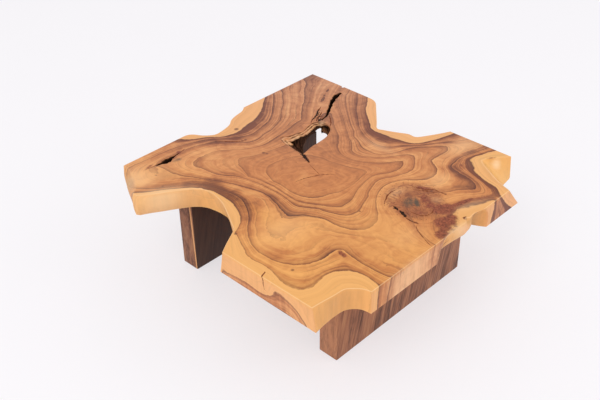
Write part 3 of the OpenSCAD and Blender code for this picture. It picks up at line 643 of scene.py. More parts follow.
def ring_guides():
    """All the points at which the ring number is known, as [u, v, z], and those numbers: points
    along the growth lines, and along the live edges at a few heights."""
    known = []
    for lines, across, value in ((TOP_RINGS, 2, SLAB_T), (LEFT_FACE_RINGS, 0, 0), (FRONT_FACE_RINGS, 1, 0)):
        known += [(number, np.insert(even(line, GUIDE_GAP), across, value, axis=1))
                  for number, *line in lines]
    live_runs = (FRONT_BAY, RIGHT_END, RIGHT_BAY, BACK_BAY, LEFT_BAY)
    for runs, number, heights in ((live_runs, BARK_RING, (1.0, 0.5, 0.0)),
                                  ((UNDERCUT_BAY,), BARK_RING / 2, (0.6, 0.0))):
        edge = np.vstack([even(smooth_run(run, 6), EDGE_GUIDE_GAP)[1:-1] for run in runs])
        for t in heights:
            known.append((number, np.insert(at_level(edge, np.full(len(edge), t)), 2, SLAB_T * t, axis=1)))
    return np.vstack([p for _, p in known]), np.concatenate([np.full(len(p), number) for number, p in known])


def ring_numbers(points):
    """The growth ring number at each point [u, v, z]: the sum of a weight times the distance to
    every guide point, plus a sloping plane. The weights are solved so that each guide point nearly
    keeps its own number."""
    guides, numbers = ring_guides()
    unit, slack = 500.0, 0.002

    def terms(part):
        gaps = np.sqrt(((part[:, None] - guides[None]) ** 2).sum(-1)) / unit
        return np.hstack([gaps, np.ones((len(part), 1)), part[:, :2] / unit])
    top = terms(guides)
    top[:, :len(guides)] -= slack * np.eye(len(guides))
    side = top[:, len(guides):]
    matrix = np.vstack([top, np.hstack([side.T, np.zeros((3, 3))])])
    weights = np.linalg.solve(matrix, np.concatenate([numbers, np.zeros(3)]))
    return in_parts(lambda part: terms(part) @ weights, points, 3000)


def blobs(points, spots):
    """Strength of some stains: the largest of several turned bell shapes."""
    total = np.zeros(len(points))
    for u, v, length, width, turn, strength in spots:
        c, s = math.cos(math.radians(turn)), math.sin(math.radians(turn))
        du, dv = points[:, 0] - u, points[:, 1] - v
        bell = np.exp(-((du * c + dv * s) / length) ** 2 - ((dv * c - du * s) / width) ** 2)
        total = np.maximum(total, strength * bell)
    return total


def check_lines(points):
    """Signed distance from each point to the nearest check, in drawn units, and that check's half
    width there, which falls to nothing at its ends."""
    distance = np.full(len(points), NO_CHECK)
    half = np.zeros(len(points))
    top = points[:, 2] > SLAB_T - 3
    for width, *line in CHECKS:
        line = np.array(line, float)
        lengths = np.hypot(*np.diff(line, axis=0).T)
        whole = lengths.sum()
        for k, (a, b) in enumerate(zip(line, line[1:])):
            way = (b - a) / lengths[k]
            rel = points[:, :2] - a
            t = np.clip(rel @ way, 0, lengths[k])
            gap = rel - t[:, None] * way
            size = np.hypot(*gap.T)
            sign = np.sign(way[0] * rel[:, 1] - way[1] * rel[:, 0])
            share = (lengths[:k].sum() + t) / whole
            nearer = top & (size < np.abs(distance))
            distance = np.where(nearer, sign * size, distance)
            half = np.where(nearer, width * np.sqrt(np.clip(4 * share * (1 - share), 0, 1)), half)
    path = np.array(LEFT_CHECK, float)
    down = np.where(points[:, 2] > SLAB_T - 0.5, -points[:, 0], SLAB_T - points[:, 2])
    near = (points[:, 0] < 45) & (down > path[0, 0]) & (down < path[-1, 0])
    offset = points[:, 1] - np.interp(down, path[:, 0], path[:, 1])
    nearer = near & (np.abs(offset) < np.abs(distance))
    distance = np.where(nearer, offset, distance)
    half = np.where(nearer, LEFT_CHECK_HALF * (1 - (np.clip(down, 0, 80) / 80) ** 2), half)
    return distance, half


def wood_values(points, cavity, worn, rims):
    """What the slab's wood reads at each point: ring number, shade, how bold the lines are, how pink
    it is, stains with a painted crease shade, burl, checks, knots, sides, painted shade on the live
    walls, paler wood and painted highlights on the eased edges, and how dark it is in and near the
    openings, with painted shade inside them. Shade and boldness are the mean of the listed ones, each
    weighed by its squared distance, and a little more, to the power of -1.7."""
    values = {"ring": ring_numbers(points)}
    tones = np.array(TONES, float)

    def blend(part):
        near = 1 / (((part[:, None, :2] - tones[None, :, :2]) ** 2).sum(-1) + TONE_AREA) ** 1.7
        return near @ tones[:, 2:] / near.sum(1, keepdims=True)
    values["shade"], values["bold"] = in_parts(blend, points).T
    u, v, z = points.T
    on_top = step(SLAB_T * 0.9, SLAB_T, z)
    side = 1 - step(SLAB_T - 9, SLAB_T - 2, z)
    left_end = 1 - step(0, CUT_REACH, u)
    front = 1 - step(0, CUT_REACH, v)
    cut_shade = 0.3 + left_end * (np.interp(v, *np.array(LEFT_FACE_TONES).T) - 0.3)
    cut_shade += front * (1 - left_end) * (np.interp(u, *np.array(FRONT_FACE_TONES).T) - 0.3)
    values["side"] = side
    values["shade"] += side * (cut_shade - values["shade"])
    pink = ((points[:, :2] / DRAWN[:2]).sum(1) / 2) ** 1.5
    cut_pink = front * (0.35 + 0.35 * step(300, 420, u)) + 0.45 * left_end * (1 - front)
    yellow = blobs(points, YELLOWS)
    values["pink"] = pink + side * (0.1 + cut_pink + blobs(points, PINKS) - pink) - yellow
    values["stain"] = blobs(points, STAINS_AND_SHADE) * (0.35 + 0.65 * on_top)
    values["core"] = blobs(points, CORES) * on_top
    burl_u, burl_v, length, width = BURL
    values["burl"] = (1.4 - np.hypot((u - burl_u) / length, (v - burl_v) / width)) * on_top
    values["check"], values["check_half"] = check_lines(points)
    knots = np.array(KNOTS, float)
    near = np.hypot(points[:, :1] - knots[:, 0], points[:, 1:2] - knots[:, 1]) / knots[:, 2]
    values["knot"] = np.clip(1.6 - near.min(1), 0, 1) * on_top
    halo = np.exp(-nearest(points[:, :2], rims) / 3) * on_top
    values["cavity"] = np.maximum(cavity, 0.4 * halo)
    # Painted shade on the walls of the live edges
    values["dull"] = side * (1 - left_end) * (1 - front) * blobs(points, PAINTED_SHADES)
    # Paler wood, and painted light and highlights on the right end's facet and the hole's torn rim
    pale = blobs(points, PALES_AND_HIGHLIGHTS) * np.maximum(on_top, side) * (1 - np.clip(values["stain"], 0, 1))
    values["worn"] = np.maximum(worn * (1 - np.clip(yellow, 0, 1)), pale)
    return values


def to_row(points):
    """Points drawn as [u, v, z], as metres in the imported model's frame."""
    return SLAB_LOW + points / DRAWN * (SLAB_HIGH - SLAB_LOW)


def in_scene(name, data):
    """A new object of a mesh, a lamp or a camera, put into the scene."""
    thing = bpy.data.objects.new(name, data)
    bpy.context.scene.collection.objects.link(thing)
    return thing


def new_piece(name, points, faces, values):
    """A mesh object from points in metres and faces, with a number for each point in each of the
    named values. Corners sharper than 40 degrees stay crisp."""
    mesh = bpy.data.meshes.new(name)
    mesh.from_pydata(points.tolist(), [], faces)
    for value, numbers in values.items():
        attribute = mesh.attributes.new(value, "FLOAT", "POINT")
        attribute.data.foreach_set("value", np.asarray(numbers, np.float32))
    mesh.shade_smooth()
    mesh.set_sharp_from_angle(angle=math.radians(40))
    mesh.update()
    return in_scene(name, mesh)


def slab_piece(gap):
    """The slab as one closed mesh: the sides, the walls of the hole, the crack and the slit, the
    floors of these two, and flat triangles for the top face and the underside. The eased edges and
    the hole's torn rim have painted highlights."""
    columns = slab_outline(gap * 1.1)
    sides = slab_sides(columns, SIDE_ROWS)
    hole, hole_dark, hole_highlight = hole_sides(gap, HOLE_WALL_ROWS)
    slots = [slot_sides(CRACK, CRACK_DEPTH, gap, CRACK_ROWS), slot_sides(SLIT, SLIT_DEPTH, gap, SLIT_ROWS)]
    grids = [sides, hole] + slots
    firsts = np.cumsum([0] + [len(g) * len(g[0]) for g in grids])
    faces = []
    for grid, first in zip(grids, firsts):
        faces += grid_faces(first, len(grid), len(grid[0]), outwards=grid is sides).tolist()
    for grid, first in zip(slots, firsts[2:]):
        count = len(grid[0])
        floor = first + (len(grid) - 1) * count
        i = np.arange(count // 2 - 1) + floor
        back = 2 * floor + count - 1
        faces += np.stack([i, i + 1, back - i - 1, back - i], 1).tolist()
    top_rows = [np.arange(len(g[0])) + first for g, first in zip(grids, firsts)]
    low_rows = [row + (len(g) - 1) * len(row) for g, row in zip(grids[:2], top_rows)]
    comb, triangles = fill([g[0][:, :2] for g in grids], gap)
    names = np.concatenate(top_rows + [np.arange(len(comb)) + firsts[-1]])
    faces += names[triangles].tolist()
    under, triangles = fill([g[-1][:, :2] for g in grids[:2]], UNDERSIDE_GAP)
    names = np.concatenate(low_rows + [np.arange(len(under)) + firsts[-1] + len(comb)])
    faces += names[triangles][:, ::-1].tolist()
    points = np.vstack([g.reshape(-1, 3) for g in grids]
                       + [np.insert(comb, 2, SLAB_T, axis=1), np.insert(under, 2, 0, axis=1)])
    # Painted shade: darker with depth in the hole, and all through the crack and the slit below their rims
    deep = np.concatenate([np.zeros(firsts[1]), hole_dark]
                          + [2.0 * step(0, 5, SLAB_T - g.reshape(-1, 3)[:, 2]) for g in slots]
                          + [np.zeros(len(comb) + len(under))])
    # Painted highlight along the top rows of the eased edges, and on the hole's torn rim
    worn = np.zeros(len(points))
    narrow = np.minimum(1, 8 / columns[:, 6])
    worn[:4 * len(columns)] = 0.55 * np.concatenate([1 - narrow, narrow, narrow ** 2, narrow ** 2])
    worn[firsts[1]:firsts[2]] = hole_highlight
    rims = np.vstack([g[0][:, :2] for g in grids[1:]])
    return new_piece("slab", to_row(points), faces, wood_values(points, np.clip(deep, 0, 2), worn, rims))


def eased_plank(name, node, width):
    """A copy of a leg's CAD mesh, merged and with its flat faces joined up, whose twelve outer edges
    are rounded: those that lie in two planes of its box. The bores in it stay as they are."""
    form = bmesh.new()
    form.from_mesh(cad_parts[node].data)
    bmesh.ops.remove_doubles(form, verts=form.verts, dist=1e-6)
    bmesh.ops.dissolve_limit(form, angle_limit=math.radians(1), verts=form.verts, edges=form.edges)
    low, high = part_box(node)

    def outer(edge):
        planes = [all(abs(v.co[k] - corner[k]) < 1e-6 for v in edge.verts)
                  for corner in (low, high) for k in range(3)]
        return sum(planes) == 2
    edges = [edge for edge in form.edges if outer(edge)]
    bmesh.ops.bevel(form, geom=edges, offset=width, segments=3, profile=0.5, affect="EDGES",
                    clamp_overlap=True)
    mesh = bpy.data.meshes.new(name)
    form.to_mesh(mesh)
    form.free()
    mesh.shade_smooth()
    mesh.set_sharp_from_angle(angle=math.radians(30))
    return in_scene(name, mesh)


def add(tree, kind, inputs=(), out=0, **settings):
    """Adds a node to a material and gives one of its outputs. Its inputs are listed in order, or
    named in a dict, and are values or other nodes' outputs. The rest are its own settings."""
    node = tree.nodes.new("ShaderNode" + kind)
    for name, value in settings.items():
        setattr(node, name, value)
    for name, value in inputs.items() if isinstance(inputs, dict) else enumerate(inputs):
        if isinstance(value, bpy.types.NodeSocket):
            tree.links.new(value, node.inputs[name])
        else:
            node.inputs[name].default_value = value
    return node.outputs[out] if node.outputs else node


def material_of(name, shade, *details):
    """A material whose shader is built by one of the functions below, from its node tree and the
    place on the object, in metres."""
    material = bpy.data.materials.new(name)
    material.use_nodes = True
    tree = material.node_tree
    tree.nodes.clear()
    place = add(tree, "TexCoord", out="Object")
    add(tree, "OutputMaterial", {"Surface": shade(tree, place, *details)})
    return material


def colour_setting(name, code, description):
    """A colour that a user would change, with an sRGB hex code as its default."""
    return bpy.props.FloatVectorProperty(name=name, description=description, default=linear(code), size=4,
                                         min=0, max=1, subtype="COLOR")


class SlabLooks(bpy.types.PropertyGroup):
    """Sizes and colours of the slab's finish."""
    gap: bpy.props.FloatProperty(
        name="Mesh spacing", description="Distance between the points of the slab's top", default=0.0049,
        min=0.004, max=0.02, unit="LENGTH")
    golden: colour_setting("Golden heartwood", "#EDA961", "Lightest heartwood, as at the front left corner")
    tan: colour_setting("Tan heartwood", "#C87E45", "Heartwood in the middle of the slab")
    brown: colour_setting("Dark brown heartwood", "#7E4427",
                          "Darkest heartwood, as in the band inside the sapwood")
    sapwood: colour_setting("Sapwood", "#EFB06D", "Pale wood along the live edges")
    line: colour_setting("Growth lines", "#5E3423", "Dark latewood lines")


class LegLooks(bpy.types.PropertyGroup):
    """Sizes and colours of the legs' finish."""
    bevel: bpy.props.FloatProperty(
        name="Eased edge", description="Width of the eased edges of the legs", default=0.002,
        min=0.0005, max=0.006, unit="LENGTH")
    wood: colour_setting("Leg wood", "#A0684A", "Middle colour of the dark plank wood")
    pale: colour_setting("Pale streaks", "#B98258", "Light streaks along the grain")
    streak: colour_setting("Dark streaks", "#54301F", "Dark streaks along the grain")


class StageLooks(bpy.types.PropertyGroup):
    """The floor and the studio light."""
    floor: colour_setting("Floor", "#FBF9FC", "Pale studio floor")
    sky: bpy.props.FloatProperty(
        name="Surrounding light", description="Strength of the even light from all round", default=0.80,
        min=0, max=2)
    key: bpy.props.FloatProperty(
        name="Key light", description="Power of the large softbox at the left", default=136, min=0, max=500,
        unit="POWER")
    fill: bpy.props.FloatProperty(
        name="Fill light", description="Power of the softbox at the front right", default=56, min=0, max=500,
        unit="POWER")


def slab_wood(tree, place, looks):
    """Oiled tropical hardwood, sawn across a root flare, sanded and hand finished: warm brown
    heartwood with dark growth lines, pale sapwood along the live edges, and a satin surface."""
    known = {name: add(tree, "Attribute", out="Fac", attribute_name=name)
             for name in ("ring", "shade", "bold", "pink", "side", "stain", "core", "burl", "check",
                          "check_half", "knot", "cavity", "worn", "dull")}
    # Growth lines waver over about 70 mm, and more finely over 15 mm
    waver = add(tree, "TexNoise", {"Vector": place, "Scale": 14, "Detail": 4, "Roughness": 0.6})
    waver = add(tree, "Math", (waver, 0.5), operation="SUBTRACT")
    ring = add(tree, "Math", (waver, 0.24, known["ring"]), operation="MULTIPLY_ADD")
    # A dark line at each whole ring number, crisp on its outer side, and a soft shadow that fades
    # inwards from it
    part = add(tree, "Math", (ring,), operation="FRACT")
    part = add(tree, "Math", (1.0, part), operation="SUBTRACT")
    main_line, shadow = (add(tree, "Math", (part, power), operation="POWER") for power in (11, 1.8))
    # Bands that follow the rings, about 25 mm and 8 mm wide. The noise's fourth coordinate is the
    # ring number, and it changes slowly with the place.
    slow = add(tree, "VectorMath", {0: place, "Scale": 1.6}, operation="SCALE")
    bands = []
    for to_a_ring, detail, roughness in ((4.5, 3, 0.6), (16.0, 5, 0.7)):
        at = add(tree, "Math", (ring, to_a_ring), operation="MULTIPLY")
        band = add(tree, "TexNoise", {"Vector": slow, "W": at, "Scale": 1.0, "Detail": detail,
                                      "Roughness": roughness}, noise_dimensions="4D")
        bands.append(add(tree, "MapRange", (band, 0.3, 0.7, -0.5, 0.5)))
    wide, fine = bands
    # Thin lines between the main ones, about four to a ring, unevenly spaced, and bold in patches of
    # about 170 mm
    thin = add(tree, "Math", (ring, 3.6), operation="MULTIPLY")
    thin = add(tree, "Math", (wide, 0.9, thin), operation="MULTIPLY_ADD")
    thin = add(tree, "Math", (thin,), operation="FRACT")
    thin = add(tree, "Math", (1.0, thin), operation="SUBTRACT")
    thin = add(tree, "Math", (thin, 6), operation="POWER")
    patchy = add(tree, "TexNoise", {"Vector": place, "Scale": 6, "Detail": 2, "Distortion": 0.6})
    patchy = add(tree, "MapRange", (patchy, 0.38, 0.62, 0.15, 1.0))
    thin = add(tree, "Math", (thin, patchy), operation="MULTIPLY")
    # Upright grain on the sawn sides, in streaks 18 mm wide and 200 mm long
    upright = add(tree, "Mapping", {"Vector": place, "Scale": (55.0, 55.0, 5.0)})
    upright = add(tree, "TexNoise", {"Vector": upright, "Scale": 1.0, "Detail": 4, "Roughness": 0.6})
    upright = add(tree, "MapRange", (upright, 0.3, 0.7, -0.22, 0.22))
    upright = add(tree, "Math", (upright, known["side"]), operation="MULTIPLY")
    # How dark the heartwood is: its shade, the shadows inside the lines, the bands, and soft clouds
    # about 60 mm across
    tone = add(tree, "Math", (shadow, 0.74, -0.16), operation="MULTIPLY_ADD")
    tone = add(tree, "Math", (wide, 0.40, tone), operation="MULTIPLY_ADD")
    tone = add(tree, "Math", (tone, known["bold"], known["shade"]), operation="MULTIPLY_ADD")
    both = add(tree, "Math", (fine, 1.8, wide), operation="MULTIPLY_ADD")
    banded = add(tree, "Math", (known["bold"], 0.26, 0.09), operation="MULTIPLY_ADD")
    tone = add(tree, "Math", (both, banded, tone), operation="MULTIPLY_ADD")
    cloud = add(tree, "TexNoise", {"Vector": place, "Scale": 16, "Detail": 5, "Distortion": 2.0})
    cloud = add(tree, "MapRange", (cloud, 0.3, 0.7, -0.16, 0.16))
    for more in (cloud, upright):
        tone = add(tree, "Math", (tone, more), operation="ADD")
    # Colours are laid over the golden heartwood one by one, each with its share: first the darker
    # heartwood
    layers = [(add(tree, "MapRange", (tone, 0.0, 0.6)), tuple(looks.tan)),
              (add(tree, "MapRange", (tone, 0.6, 1.2)), tuple(looks.brown))]
    # Sapwood lies outside ring 0, with an edge ragged over 18 mm, and is a little darker in streaks
    sap_light = add(tree, "Math", (upright, 1.6, wide), operation="MULTIPLY_ADD")
    sap_light = add(tree, "Math", (fine, 0.7, sap_light), operation="MULTIPLY_ADD")
    sap_light = add(tree, "MapRange", (sap_light, -0.3, 0.7, 0.0, 0.75))
    sap_light = add(tree, "Mix", {0: sap_light, 6: tuple(looks.sapwood), 7: linear("#DD9F5F")}, out=2,
                    data_type="RGBA")
    ragged = add(tree, "TexNoise", {"Vector": place, "Scale": 57, "Detail": 3})
    ragged = add(tree, "Math", (ragged, 0.16, ring), operation="MULTIPLY_ADD")
    sap = add(tree, "MapRange", (ragged, 0.14, 0.04), interpolation_type="SMOOTHSTEP")
    layers.append((sap, sap_light))
    # Lines are laid over the heartwood, and only faintly over the sapwood
    in_heart = add(tree, "MapRange", (sap, 0.0, 1.0, 1.0, 0.35))
    grown = add(tree, "Math", (known["bold"], 0.12), operation="ADD")
    lines = add(tree, "Math", (thin, 0.85), operation="MULTIPLY")
    lines = add(tree, "Math", (main_line, 1.15, lines), operation="MULTIPLY_ADD")
    lines = add(tree, "Math", (lines, in_heart), operation="MULTIPLY")
    lines = add(tree, "Math", (lines, grown), operation="MULTIPLY", use_clamp=True)
    layers.append((lines, tuple(looks.line)))
    # Inside the burl the wood is redder, with mottles 23 mm across and swirling lines
    mottle = add(tree, "TexNoise", {"Vector": place, "Scale": 44, "Detail": 5, "Roughness": 0.7,
                                    "Distortion": 1.2})
    burl = add(tree, "MapRange", (known["burl"], 0.38, 0.62), interpolation_type="SMOOTHSTEP")
    red = add(tree, "MapRange", (mottle, 0.35, 0.65, 0.2, 0.8))
    red = add(tree, "Math", (red, burl), operation="MULTIPLY")
    swirl = add(tree, "TexNoise", {"Vector": place, "Scale": 11, "Detail": 1, "Roughness": 0.5,
                                   "Distortion": 1.6})
    for operation, other in (("MULTIPLY", 9.0), ("FRACT", 0.0), ("POWER", 2.5), ("MULTIPLY", burl),
                             ("MULTIPLY", 0.65)):
        swirl = add(tree, "Math", (swirl, other), operation=operation)
    layers += [(red, linear("#9C5733")), (swirl, linear("#6C321E"))]
    # Red brown stains with flecks 8 mm across, painted shade in the crease under the right end's rim,
    # and the burl's grey green core
    flecks = add(tree, "TexNoise", {"Vector": place, "Scale": 120, "Detail": 4, "Roughness": 0.7,
                                    "Distortion": 0.8})
    flecks = add(tree, "MapRange", (flecks, 0.38, 0.62))
    stain = add(tree, "Math", (known["stain"], mottle), operation="ADD")
    stain = add(tree, "MapRange", (stain, 0.72, 1.15, 0.0, 0.92), interpolation_type="SMOOTHSTEP")
    stained = add(tree, "Mix", {0: flecks, 6: linear("#652A18"), 7: linear("#A05232")}, out=2,
                  data_type="RGBA")
    core = add(tree, "Math", (known["core"], mottle), operation="ADD")
    core = add(tree, "MapRange", (core, 0.7, 1.35, 0.0, 0.9), interpolation_type="SMOOTHSTEP")
    layers += [(stain, stained), (core, linear("#4E4434"))]
    # Specks and pits round the burl's rim, about 11 mm apart
    rim = add(tree, "Math", (known["burl"], 0.42, 0.13), operation="COMPARE")
    pits = add(tree, "TexVoronoi", {"Vector": place, "Scale": 88, "Randomness": 1.0})
    pits = add(tree, "MapRange", (pits, 0.30, 0.12, 0.0, 1.0))
    for share in (rim, mottle):
        pits = add(tree, "Math", (pits, share), operation="MULTIPLY")
    knot = add(tree, "MapRange", (known["knot"], 0.35, 0.95, 0.0, 0.7))
    layers += [(pits, linear("#5A2A18")), (knot, linear("#5E3020"))]
    # The wood is yellower at the front left and pinker at the back right: its blue rises there, and
    # the heartwood's green a little too
    blue = add(tree, "Math", (sap, -0.3, 0.75), operation="MULTIPLY_ADD")
    blue = add(tree, "Math", (known["pink"], blue, 0.9), operation="MULTIPLY_ADD")
    grey = add(tree, "MapRange", (known["pink"], 0.35, 1.0))
    heart = add(tree, "Math", (1.0, sap), operation="SUBTRACT")
    grey = add(tree, "Math", (grey, heart), operation="MULTIPLY")
    green = add(tree, "Math", (grey, 0.19, 1.0), operation="MULTIPLY_ADD")
    blue = add(tree, "Math", (grey, 0.48, blue), operation="MULTIPLY_ADD")
    tint = add(tree, "CombineXYZ", (1.0, green, blue))
    # Painted shade makes the live edges' walls a little duller than the top, and painted highlights and
    # paler wood lighten the eased edges and some other places
    dull = add(tree, "Math", (known["dull"], upright), operation="ADD")
    dull = add(tree, "Math", (dull, 0.55), operation="MULTIPLY", use_clamp=True)
    worn = add(tree, "Math", (known["worn"], 0.6), operation="MULTIPLY")
    # Fine checks: dark where the distance to one is less than its half width, which is ragged over
    # 8 mm, red brown if narrow and nearly black if wide
    jag = add(tree, "TexNoise", {"Vector": place, "Scale": 130, "Detail": 3})
    jag = add(tree, "MapRange", (jag, 0.36, 0.64, 0.25, 0.8))
    half = add(tree, "Math", (known["check_half"], jag), operation="MULTIPLY")
    half = add(tree, "Math", (half, 2.0, 0.2), operation="MULTIPLY_ADD")
    away = add(tree, "Math", (known["check"],), operation="ABSOLUTE")
    check = add(tree, "Math", (half, away), operation="SUBTRACT")
    check = add(tree, "MapRange", (check, -0.2, 1.0, 0.0, 0.95))
    gash = add(tree, "MapRange", (known["check_half"], 3.8, 4.4))
    gash = add(tree, "Mix", {0: gash, 6: linear("#74381F"), 7: linear("#160D09")}, out=2, data_type="RGBA")
    # Dark wood and painted shade inside the openings, darker with depth, with upright streaks 8 mm wide in
    # the hole
    cavity = add(tree, "Math", (mottle, 0.35, known["cavity"]), operation="MULTIPLY_ADD")
    cavity = add(tree, "MapRange", (cavity, 0.4, 1.05))
    streaks = add(tree, "Mapping", {"Vector": place, "Scale": (120.0, 120.0, 22.0)})
    streaks = add(tree, "TexNoise", {"Vector": streaks, "Scale": 1.0, "Detail": 4, "Roughness": 0.65})
    streaks = add(tree, "MapRange", (streaks, 0.4, 0.65))
    in_hole = add(tree, "MapRange", (known["cavity"], 1.05, 1.5, 1.0, 0.0))
    streaks = add(tree, "Math", (streaks, in_hole), operation="MULTIPLY")
    hollow = add(tree, "Mix", {0: streaks, 6: linear("#22140D"), 7: linear("#7A5038")}, out=2,
                 data_type="RGBA")
    marks = [(dull, linear("#B98A58")), (worn, linear("#FFDDB0")), (check, gash), (cavity, hollow)]
    wood = tuple(looks.golden)
    for share, colour in layers:
        wood = add(tree, "Mix", {0: share, 6: wood, 7: colour}, out=2, data_type="RGBA")
    wood = add(tree, "VectorMath", (wood, tint), operation="MULTIPLY")
    for share, colour in marks:
        wood = add(tree, "Mix", {0: share, 6: wood, 7: colour}, out=2, data_type="RGBA")
    # The wood's pores are about 0.3 mm wide, and are drawn 2 mm apart so that they show, as a little
    # roughness and bump
    pores = add(tree, "TexNoise", {"Vector": place, "Scale": 420, "Detail": 2})
    rough = add(tree, "MapRange", (pores, 0.3, 0.7, 0.42, 0.54))
    rough = add(tree, "Math", (cavity, 0.4, rough), operation="MULTIPLY_ADD")
    grain = add(tree, "Math", (lines, -0.5, pores), operation="MULTIPLY_ADD")
    bump = add(tree, "Bump", {"Height": grain, "Strength": 0.12, "Distance": 0.0006})
    # The oiled face is only dimly glossy, and nothing shines in the checks and the openings
    gloss = add(tree, "Math", (check, cavity), operation="MAXIMUM")
    gloss = add(tree, "MapRange", (gloss, 0.0, 1.0, 0.3, 0.05))
    return add(tree, "BsdfPrincipled", {"Base Color": wood, "Roughness": rough, "Normal": bump, "IOR": 1.47,
                                        "Specular IOR Level": gloss})


def plank_wood(tree, place, looks, node):
    """Dark oiled plank wood with upright grain: streaks about 26 mm and 4 mm wide that lean a little.
    The front leg has a paler left end, and the rear one's shows a thin strip of pale sapwood beside
    its front corner. The rear leg's long face towards the middle has painted shade."""
    lean = add(tree, "Mapping", {"Vector": place, "Rotation": (0.0, math.radians(-12), 0.0)})
    wide = add(tree, "Mapping", {"Vector": lean, "Scale": (38.0, 38.0, 2.8)})
    streak = add(tree, "TexNoise", {"Vector": wide, "Scale": 1.0, "Detail": 5, "Roughness": 0.62,
                                    "Distortion": 0.5})
    narrow = add(tree, "Mapping", {"Vector": lean, "Scale": (240.0, 240.0, 10.0)})
    hair = add(tree, "TexNoise", {"Vector": narrow, "Scale": 1.0, "Detail": 3, "Roughness": 0.6})
    mixed = add(tree, "Math", (hair, 0.5, streak), operation="MULTIPLY_ADD")
    layers = [(add(tree, "MapRange", (mixed, 0.74, 0.56, 0.0, 0.75)), tuple(looks.pale)),
              (add(tree, "MapRange", (mixed, 0.72, 0.92, 0.0, 0.95)), tuple(looks.streak))]
    low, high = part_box(node)
    x, y, z = add(tree, "SeparateXYZ", (place,)).node.outputs
    if node == "front_leg":
        # Its left end is of paler wood
        end = add(tree, "Math", (x, low.x + 0.0015), operation="LESS_THAN")
        end = add(tree, "Math", (end, 0.38), operation="MULTIPLY")
        layers.append((end, linear("#CF9169")))
    else:
        # How far the strip's middle is behind the front corner: 4 mm at the floor and 15 mm at the top
        middle = add(tree, "MapRange", (z, 0.0, high.z, low.y + 0.004, low.y + 0.015))
        strip = add(tree, "Math", (y, middle, 0.0038), operation="COMPARE")
        end = add(tree, "Math", (x, low.x + 0.004), operation="LESS_THAN")
        strip = add(tree, "Math", (strip, end), operation="MULTIPLY")
        # Painted shade on its long face towards the middle, under the slab, most of all at the left end
        face = add(tree, "Math", (y, low.y + 0.0015), operation="LESS_THAN")
        face_shade_share = add(tree, "MapRange", (x, low.x + 0.15, low.x + 0.45, 0.88, 0.7))
        face = add(tree, "Math", (face, face_shade_share), operation="MULTIPLY")
        layers += [(0.3, linear("#553528")), (strip, linear("#D9A06B")), (face, linear("#33201A"))]
    wood = tuple(looks.wood)
    for share, colour in layers:
        wood = add(tree, "Mix", {0: share, 6: wood, 7: colour}, out=2, data_type="RGBA")
    rough = add(tree, "MapRange", (hair, 0.3, 0.7, 0.42, 0.58))
    bump = add(tree, "Bump", {"Height": hair, "Strength": 0.2, "Distance": 0.0005})
    return add(tree, "BsdfPrincipled", {"Base Color": wood, "Roughness": rough, "Normal": bump, "IOR": 1.47,
                                        "Specular IOR Level": 0.3})


def zinc_steel(tree, place):
    """Zinc plated steel bolts and washers: cool grey metal with fine crystals in the plating, which
    make it a little brighter and duller in patches."""
    # Crystals are about 0.5 mm across, and are drawn at 1 mm so that they show
    patch = add(tree, "TexVoronoi", {"Vector": place, "Scale": 1000.0})
    colour = add(tree, "Mix", {0: patch, 6: linear("#C2C4C8"), 7: linear("#9EA1A6")}, out=2, data_type="RGBA")
    rough = add(tree, "MapRange", (patch, 0.0, 1.0, 0.26, 0.44))
    return add(tree, "BsdfPrincipled", {"Base Color": colour, "Roughness": rough, "Metallic": 1.0})


def turned_brass(tree, place):
    """Turned brass threaded inserts: warm yellow metal with fine rings left by the tool."""
    # Tool marks are 0.2 mm apart, and are drawn 2 mm apart so that they show
    marks = add(tree, "TexWave", {"Vector": place, "Scale": 160.0, "Distortion": 0.4}, out="Fac",
                bands_direction="Z")
    rough = add(tree, "MapRange", (marks, 0.0, 1.0, 0.24, 0.36))
    tarnish = add(tree, "TexNoise", {"Vector": place, "Scale": 90.0, "Detail": 3})
    colour = add(tree, "Mix", {0: tarnish, 6: linear("#C9A45A"), 7: linear("#A07C3C")}, out=2,
                 data_type="RGBA")
    return add(tree, "BsdfPrincipled", {"Base Color": colour, "Roughness": rough, "Metallic": 1.0})


def beech(tree, place):
    """Turned beech dowels: pale pinkish wood with short dark flecks along the dowel."""
    # Flecks are about 2 mm long, and are drawn 4 mm long so that they show
    grain = add(tree, "Mapping", {"Vector": place, "Scale": (1400.0, 1400.0, 260.0)})
    fleck = add(tree, "TexNoise", {"Vector": grain, "Scale": 1.0, "Detail": 2})
    fleck = add(tree, "MapRange", (fleck, 0.55, 0.75))
    colour = add(tree, "Mix", {0: fleck, 6: linear("#D9B68A"), 7: linear("#A97E52")}, out=2, data_type="RGBA")
    return add(tree, "BsdfPrincipled", {"Base Color": colour, "Roughness": 0.6, "IOR": 1.47})


def pressed_felt(tree, place):
    """Pressed wool felt pads: matt dark grey brown, with fibres that make it cloudy and fuzzy."""
    # Fibres are 0.03 mm thick, and are drawn as clumps of about 1 mm so that they show
    fibre = add(tree, "TexNoise", {"Vector": place, "Scale": 900.0, "Detail": 4, "Distortion": 2.0})
    colour = add(tree, "Mix", {0: fibre, 6: linear("#3A3531"), 7: linear("#6A625B")}, out=2, data_type="RGBA")
    bump = add(tree, "Bump", {"Height": fibre, "Strength": 0.6, "Distance": 0.0008})
    return add(tree, "BsdfPrincipled", {"Base Color": colour, "Roughness": 0.95, "IOR": 1.5, "Normal": bump,
                                        "Sheen Weight": 0.5, "Sheen Roughness": 0.5})


